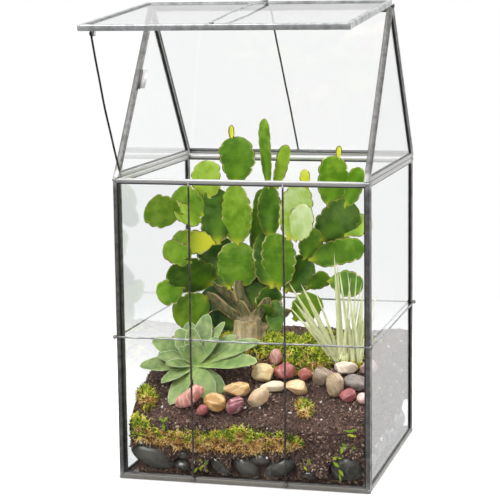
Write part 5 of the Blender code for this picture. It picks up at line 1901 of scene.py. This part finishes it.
@dataclass
class Cactus:
    """Pad cactus: a woody trunk, its limbs and chains of flat crenate pads."""

    bed: Bed
    trunk_height: float = 54 * MM
    root_radius: float = 17 * MM
    thickness: float = 2.6 * MM
    sink: float = 3 * MM
    bud_length: float = 20
    lobe_pitch: float = 9.5
    uneven: float = 0.16
    rows: int = 50
    section: int = 18

    def lobe(self, pad: Pad, share: float, side: float) -> float:
        """Round lobes of the rim, 1 at a crest and 0 in a notch, staggered between the sides."""
        count = max(3, round(pad.length / self.lobe_pitch))
        shift = 0.3 if side > 0 else 0.0
        return abs(sin(pi * (count * share + shift))) ** 0.6

    def half_width(self, pad: Pad, share: float, lobe: float, side: float) -> float:
        """Half the pad's width on one side.

        Args:
            pad: Its sizes.
            share: Place along its length.
            lobe: Height of the rim's lobe there.
            side: Which side, by its sign.

        Returns:
            The half width.
        """
        share = min(max(share, 0.0), 1.0)
        skew = 1.12 + 0.16 * sin(pad.length * 1.7 + pad.width)
        full = 2.6 + 0.5 * sin(pad.length + pad.width * 2.3)
        body = max(1 - abs(2 * share ** skew - 1) ** full, 0.0) ** 0.5
        spot = Vector((share * 2.4, pad.length, side))
        width = pad.width * MM * (1 + self.uneven * waver(spot, 1.0, pad.width))
        foot = min(3.2 * MM, width * 0.28) * (1 - share)
        return max(width / 2 * body * (0.895 + 0.14 * lobe), foot, 0.25 * MM)

    def bend(self, pad: Pad, share: float, side: float) -> float:
        """How far the pad's middle surface bows out of its plane."""
        wave = sin(share * 5 + pad.length) * side * abs(side) * 0.9
        return (1.3 * side * side * sin(pi * share) + wave * share) * MM

    def add_pad(self, draft: Draft, pad: Pad, base: Vector, along: Vector, across: Vector) -> None:
        """Add one pad to a draft.

        Args:
            draft: Where it goes.
            pad: Its sizes and colour.
            base: Where it grows.
            along: Direction of its length.
            across: Direction of its width.
        """
        normal = across.cross(along)
        length = pad.length * MM
        loops = []
        for share in shares(self.rows):
            eased = share - 0.035 * sin(tau * share)
            reach = eased * (length + self.sink) - self.sink
            loop = []
            for angle in turns(self.section):
                side = cos(angle)
                lobe = self.lobe(pad, reach / length, side)
                half = self.half_width(pad, reach / length, lobe, copysign(0.5, side))
                depth = self.thickness * min(1, pad.width / 26) / 2
                tip = sqrt(max(1 - abs(2 * eased - 1) ** 6, 0.04))
                rib = 0.35 * MM * exp(-(side * half / (1.4 * MM)) ** 2) * (1 - 0.7 * eased)
                lens = sin(angle) * (depth * (0.3 + 0.7 * (1 - side * side)) * tip)
                lens += copysign(rib, sin(angle)) if abs(sin(angle)) > 0.1 else 0
                edge = min(half * (1 - abs(side)), max(length - reach, 0) * 1.3)
                place = (base + along * reach + across * side * half
                         + normal * (lens + self.bend(pad, eased, side)))
                bud = pad.length < self.bud_length
                yellow = pad.yellow * (1 if bud else smooth_step(1.25 - 1.5 * eased))
                yellow = max(yellow, 0.75 * smooth_step(1 - eased / 0.2) * (1 - 0.5 * abs(side)))
                notch = 0.3 * (1 - lobe) ** 3
                # Each pad is painted a little lighter towards its tip, as painted light from above.
                loop.append(draft.point(
                    place, rim=min(1 - min(edge / (2.0 * MM), 1) + notch * abs(side) ** 6, 1), side=abs(side),
                    along=eased, tone=pad.tone + 0.12 * (eased - 0.5), yellow=yellow))
            loops.append(loop)
        draft.loft(loops)

    def build_pads(self, foot: Vector) -> None:
        """Grow every pad from its parent.

        Args:
            foot: The trunk's foot.
        """
        draft = Draft(Channel.RIM, Channel.SIDE, Channel.ALONG, Channel.TONE, Channel.YELLOW)
        lean = Vector((-10 * MM, 0, self.trunk_height))
        grown = {"trunk": (foot, lean.normalized(), Vector((1, 0, 0)), lean.length, 26 * MM)}
        for name, pad in PADS.items():
            start, along, across, parent_length, parent_width = grown[pad.parent]
            base = start + along * parent_length * pad.along + across * parent_width / 2 * pad.across
            turn = (Matrix.Rotation(radians(pad.tilt), 3, "Y")
                    @ Matrix.Rotation(radians(pad.lean), 3, "X"))
            along = turn @ UP
            across = turn @ Matrix.Rotation(radians(pad.twist), 3, "Z") @ Vector((1, 0, 0))
            grown[name] = (base, along, across, pad.length * MM, pad.width * MM)
            self.add_pad(draft, pad, base, along, across)
        draft.piece("cactus_pads", PAD_SKIN, "pad_green", "cactus")

    def build_trunk(self, foot: Vector) -> None:
        """Woody trunk and its flattened limbs.

        Args:
            foot: The trunk's foot.
        """
        draft = Draft(Channel.ALONG, Channel.SIDE)
        stem = [foot + Vector(place) * MM for place in (
            (0, 0, -12), (0, 0, 1), (1, 0, 17), (1, 0, 22.5),
            (1, -1, 25), (-2, -2, 34), (-8, -2, 48), (-10, 0, 61))]
        scales = [1, 1, 0.94, 0.86, 0.5, 0.4, 0.36, 0.28]
        radii = []
        for share in shares(44):
            place = share * (len(scales) - 1)
            index = min(int(place), len(scales) - 2)
            radius = scales[index] + (scales[index + 1] - scales[index]) * (place - index)
            radii.append(radius * self.root_radius)
        sweep(draft, curve(stem, 44), radii, 36, ridges=0.05)
        for limb in LIMBS:
            path = curve([foot + Vector(point) * MM for point in limb], 20)
            radii = [(5.8 - 1.4 * step / 20) * (1 - 0.7 * smooth_step((step - 16) / 4)) * MM
                     for step in range(21)]
            sweep(draft, path, radii, 20, flat=0.55, ridges=0.13, facing=Vector((0, 1, 0)))
        draft.piece("cactus_trunk", BARK, "pad_green", "cactus")

    def build(self) -> None:
        """Make the whole cactus."""
        x, y = self.bed.trunk_place
        foot = Vector((x, y, self.bed.ground(x, y)))
        self.build_pads(foot)
        self.build_trunk(foot)


@dataclass(frozen=True)
class LeafShape:
    """Form of one leaf of a rosette or a tuft."""

    heading: float
    length: float
    width: float
    rise: float
    arch: float
    thickness: float
    widest: float
    cup: float
    point: float = 0.6
    rows: int = 18
    section: int = 14
    roll: float = 0.0


def add_leaf(draft: Draft, base: Vector, axis: Vector, leaf: LeafShape, tone: float,
             tint: float = 0.0) -> None:
    """Add a pointed leaf that leaves a stem's axis at a heading and arches.

    Args:
        draft: Where it goes.
        base: Where it grows.
        axis: The stem's direction.
        leaf: Its form.
        tone: Its painted shade.
        tint: Its own tint.
    """
    side_way = axis.orthogonal().normalized()
    if axis.cross(UP).length > 0.01:
        side_way = UP.cross(axis).normalized()
    flat = Matrix.Rotation(leaf.heading, 3, axis) @ side_way
    across = axis.cross(flat)
    spot, angle = Vector(base), leaf.rise
    loops = []
    for share in shares(leaf.rows):
        side_length = max(leaf.widest, 1 - leaf.widest) if share < leaf.widest else 1 - leaf.widest
        swell = max(1 - abs(share - leaf.widest) / side_length, 0.0) ** leaf.point
        half = leaf.width / 2 * max(swell, 0.14 * (1 - share) + 0.02)
        normal = axis * cos(angle) - flat * sin(angle)
        wide = across * cos(leaf.roll) + normal * sin(leaf.roll)
        normal = normal * cos(leaf.roll) - across * sin(leaf.roll)
        loop = []
        for turn in turns(leaf.section):
            side = cos(turn)
            depth = leaf.thickness / 2 * (0.25 + 0.75 * (1 - side * side)) * min(1, 3 * (1 - share) + 0.15)
            place = spot + wide * half * side + normal * (leaf.cup * half * side ** 2 + sin(turn) * depth)
            edge = min(half * (1 - abs(side)), (1 - share) * leaf.length)
            loop.append(draft.point(place, rim=1 - min(edge / (1.6 * MM), 1), side=abs(side), along=share,
                                    tone=tone, tint=tint))
        loops.append(loop)
        spot = spot + (flat * cos(angle) + axis * sin(angle)) * leaf.length / leaf.rows
        angle += leaf.arch / leaf.rows
    draft.loft(loops)


# Leaves of the rosette from the outside in: heading in degrees, length and width in mm,
# rise and arch in degrees and painted shade, deepest on the inner leaves
ROSETTE_LEAVES = (
    (17, 70, 20, 15, -10, 0.0), (-5, 69, 21, 12, -8, 0.0), (-40, 46, 17, -12, -14, 0.1),
    (-60, 46, 21, -6, -26, 0.0), (-108, 54, 18, -2, -14, 0.0), (-130, 44, 14, 10, -8, 0.2),
    (-165, 58, 20, 10, -8, 0.0), (160, 54, 22, 18, -10, 0.0), (110, 48, 18, 22, -6, 0.2),
    (38, 50, 16, 16, -6, 0.1), (-175, 41, 17, 23, -12, 0.1), (130, 42, 20, 34, -6, 0.1),
    (80, 53, 20, 32, -2, 0.0), (55, 52, 12, 27, -2, 0.1), (-150, 34, 13, 26, -6, 0.3),
    (35, 38, 15, 36, 2, 0.3), (104, 38, 17, 46, 2, 0.1), (172, 27, 14, 48, 4, 0.3),
    (140, 24, 14, 50, 6, 0.4), (93, 25, 18, 45, 10, 0.2),
)

# Leaves of the air plant: heading in degrees, length in mm, rise and arch in degrees, and the
# foot's place across in mm
AIR_LEAVES = (
    (178, 99, 60, 3, -8), (184, 92, 64, 4, -6), (186, 84, 52, 6, -9), (176, 66, 58, 6, -6),
    (190, 86, 56, 8, -8), (182, 76, 70, 4, -3), (175, 108, 88, 2, -4), (90, 98, 86, 2, -1),
    (180, 96, 84, 3, 6), (-80, 84, 86, 3, 2), (0, 88, 87, 2, 8), (185, 90, 86, 3, 12),
    (5, 68, 74, 14, 10), (0, 58, 84, 6, 16), (-60, 52, 80, 8, 18), (10, 66, 86, 4, 14),
    (180, 60, 84, 4, 16),
)


@dataclass
class Rosette:
    """Rosette succulent that leans to the front."""

    bed: Bed
    place: tuple[float, float] = (-63 * MM, -52 * MM)
    tilt: float = radians(35)
    height: float = 14.5 * MM
    perk: float = radians(4)
    root_depth: float = 8 * MM

    def build(self) -> None:
        """Make the stem, the leaves in their layers and the heart."""
        x, y = self.place
        top = self.bed.ground(x, y)
        axis = Vector((0, -sin(self.tilt), cos(self.tilt)))
        heart = Vector((x, y - 8 * MM, top + self.height))
        draft = Draft(*LEAF_CHANNELS)
        stem = [Vector((x, y, top - self.root_depth)), Vector((x, y, top + 3 * MM)),
                Vector((x, y - 3 * MM, top + 14 * MM)), heart]
        sweep(draft, curve(stem, 12), 5 * MM, 18, tone=0.8)
        for heading, length, width, rise, arch, tone in ROSETTE_LEAVES:
            leaf = LeafShape(radians(heading), length * MM, width * 1.1 * MM, radians(rise) + self.perk,
                             radians(arch), 3.2 * MM, 0.62, 0.26, 0.46, rows=24, section=16)
            add_leaf(draft, heart, axis, leaf, tone)
        draft.piece("rosette_leaves", ROSETTE_SKIN, "rosette_green", "rosette")


@dataclass
class AirPlant:
    """Air plant: a tuft of narrow silvery leaves."""

    bed: Bed
    place: tuple[float, float] = (80 * MM, -18 * MM)
    extra_leaves: int = 9

    def build(self) -> None:
        """Make the foot and the leaves, with some thinner ones between them."""
        x, y = self.place
        top = self.bed.ground(x, y)
        draft = Draft(*LEAF_CHANNELS)
        foot = [Vector((x, y, top + height * MM)) for height in (-8, 0, 7, 12)]
        sweep(draft, foot, [4 * MM, 6 * MM, 6.5 * MM, 3 * MM], 18)
        rng = random.Random(23)
        leaves = list(AIR_LEAVES)
        for _ in range(self.extra_leaves):
            heading, length, rise, arch, across = rng.choice(AIR_LEAVES)
            leaves.append((heading + rng.uniform(-14, 14), length * rng.uniform(0.6, 0.9),
                           rise + rng.uniform(-6, 4), arch + rng.uniform(0, 8), across + rng.uniform(-3, 3)))
        for index, (heading, length, rise, arch, across) in enumerate(leaves):
            foot_x = x + across * MM
            core = Vector((foot_x, y + 3 * MM * sin(index * 2.6), self.bed.ground(foot_x, y) - 1 * MM))
            sideways = abs(cos(radians(heading)))
            roll = radians(58) * sideways * copysign(1, sin(index * 2.2 + 0.6))
            leaf = LeafShape(radians(heading), (length + 6) * MM, (6.4 + 1.6 * sin(index * 1.7)) * MM,
                             radians(rise), radians(-arch), 1.3 * MM, 0.1, 0.35, 0.7, 24, 10, roll)
            add_leaf(draft, core, UP, leaf, 0.0, rng.random())
        draft.piece("air_leaves", AIR_LEAF_SKIN, "air_plant_green", "air_plant")


# Studio


@dataclass(frozen=True)
class Studio:
    """Camera at the photograph's viewing angle, soft light and a pale floor."""

    focal_pixels: float = 1726.9
    frame_pixels: float = 500.0
    sensor: float = 36.0
    azimuth: float = radians(15.061)
    elevation: float = radians(8.762)
    roll: float = radians(-0.718)
    distance: float = 1.7434
    target_across: float = -0.01288
    target_depth: float = -0.0321
    target_height: float = 0.22065

    def build_camera(self) -> None:
        """Place the camera."""
        back = Vector((sin(self.azimuth) * cos(self.elevation),
                       -cos(self.azimuth) * cos(self.elevation), sin(self.elevation)))
        right = Vector((cos(self.azimuth), sin(self.azimuth), 0))
        up = right.cross(-back)
        rolled_right = right * cos(self.roll) + up * sin(self.roll)
        rolled_up = up * cos(self.roll) - right * sin(self.roll)
        target = Vector((0, self.target_depth, self.target_height)) + right * self.target_across
        data = bpy.data.cameras.new("camera")
        data.sensor_width = self.sensor
        data.lens = self.sensor * self.focal_pixels / self.frame_pixels
        camera = show("camera", data)
        turn = Matrix((rolled_right, rolled_up, back)).transposed().to_4x4()
        camera.matrix_world = Matrix.Translation(target + back * self.distance) @ turn
        bpy.context.scene.camera = camera

    def add_lamp(self, name: str, place: Vector, aim: Vector, size: float, energy: float,
                 mirrored: bool) -> None:
        """Add a soft square lamp.

        Args:
            name: Its name.
            place: Where it hangs.
            aim: What it points at.
            size: Length of its side.
            energy: Its power in watts.
            mirrored: Whether the panes and metal mirror it.
        """
        data = bpy.data.lights.new(name, "AREA")
        data.shape, data.size, data.energy = "SQUARE", size, energy
        lamp = show(name, data)
        lamp.visible_glossy = mirrored
        lamp.location = place
        lamp.rotation_euler = (aim - place).to_track_quat("-Z", "Y").to_euler()

    def build_world(self) -> None:
        """White surroundings that light the plants less than they show."""
        world = bpy.data.worlds.new("white_room")
        bpy.context.scene.world = world
        world.use_nodes = True
        graph = Graph(world.node_tree)
        background = world.node_tree.nodes["Background"]
        background.inputs["Color"].default_value = (1, 1, 1, 1)
        view = graph.add("ShaderNodeTexCoord", {}, "Generated")
        way = graph.add("ShaderNodeSeparateXYZ", {"Vector": view}).node.outputs
        bright = graph.math("MAXIMUM", graph.span(way["Y"], 0.1, 0.8), graph.span(way["Z"], 0.3, 0.9))
        mirror_loss = graph.math("SUBTRACT", 0.94, graph.times(bright, 0.84))
        dim = graph.math("ADD", graph.times(graph.light_path("Is Diffuse Ray"), 0.5),
                         graph.times(graph.mirrored(), mirror_loss))
        graph.feed(background.inputs["Strength"], graph.math("SUBTRACT", 1.0, dim))

    def build(self) -> None:
        """Make the studio."""
        self.build_camera()
        middle = Vector((0, 0, 0.22))
        self.add_lamp("key", Vector((-0.55, -1.0, 1.25)), middle, 0.7, 13, True)
        self.add_lamp("top", Vector((0.15, 0.25, 1.5)), middle, 0.9, 12, False)
        self.add_lamp("rim", Vector((0.75, 0.9, 0.8)), middle, 0.7, 9, False)
        self.build_world()
        bpy.context.scene.view_settings.view_transform = "Standard"
        floor = Draft()
        corners = [floor.point(Vector((x, y, -0.0005))) for x, y in ((-6, -6), (6, -6), (6, 6), (-6, 6))]
        floor.faces.append(tuple(corners))
        ground = floor.build("floor")
        PaleFloor("pale_floor").dress(ground)


def main() -> None:
    """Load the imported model, build every class in order and note the sizes."""
    logging.basicConfig(level=logging.INFO, format="%(name)s: %(message)s")
    put_away(*bpy.data.objects)
    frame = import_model()
    joints = {joint["name"]: joint for joint in frame["joints"]}
    low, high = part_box("front_frame")
    case = Case(Vector(joints["lid_hinge"]["pos_m"]), high.x, -low.y, high.z)
    Studio().build()
    case.build(frame["nodes"])
    PROP.build(case, joints["prop_fold"])
    bed = Bed(case, Strewing())
    bed.build()
    Cactus(bed).build()
    Rosette(bed).build()
    AirPlant(bed).build()


if __name__ == "__main__":
    main()
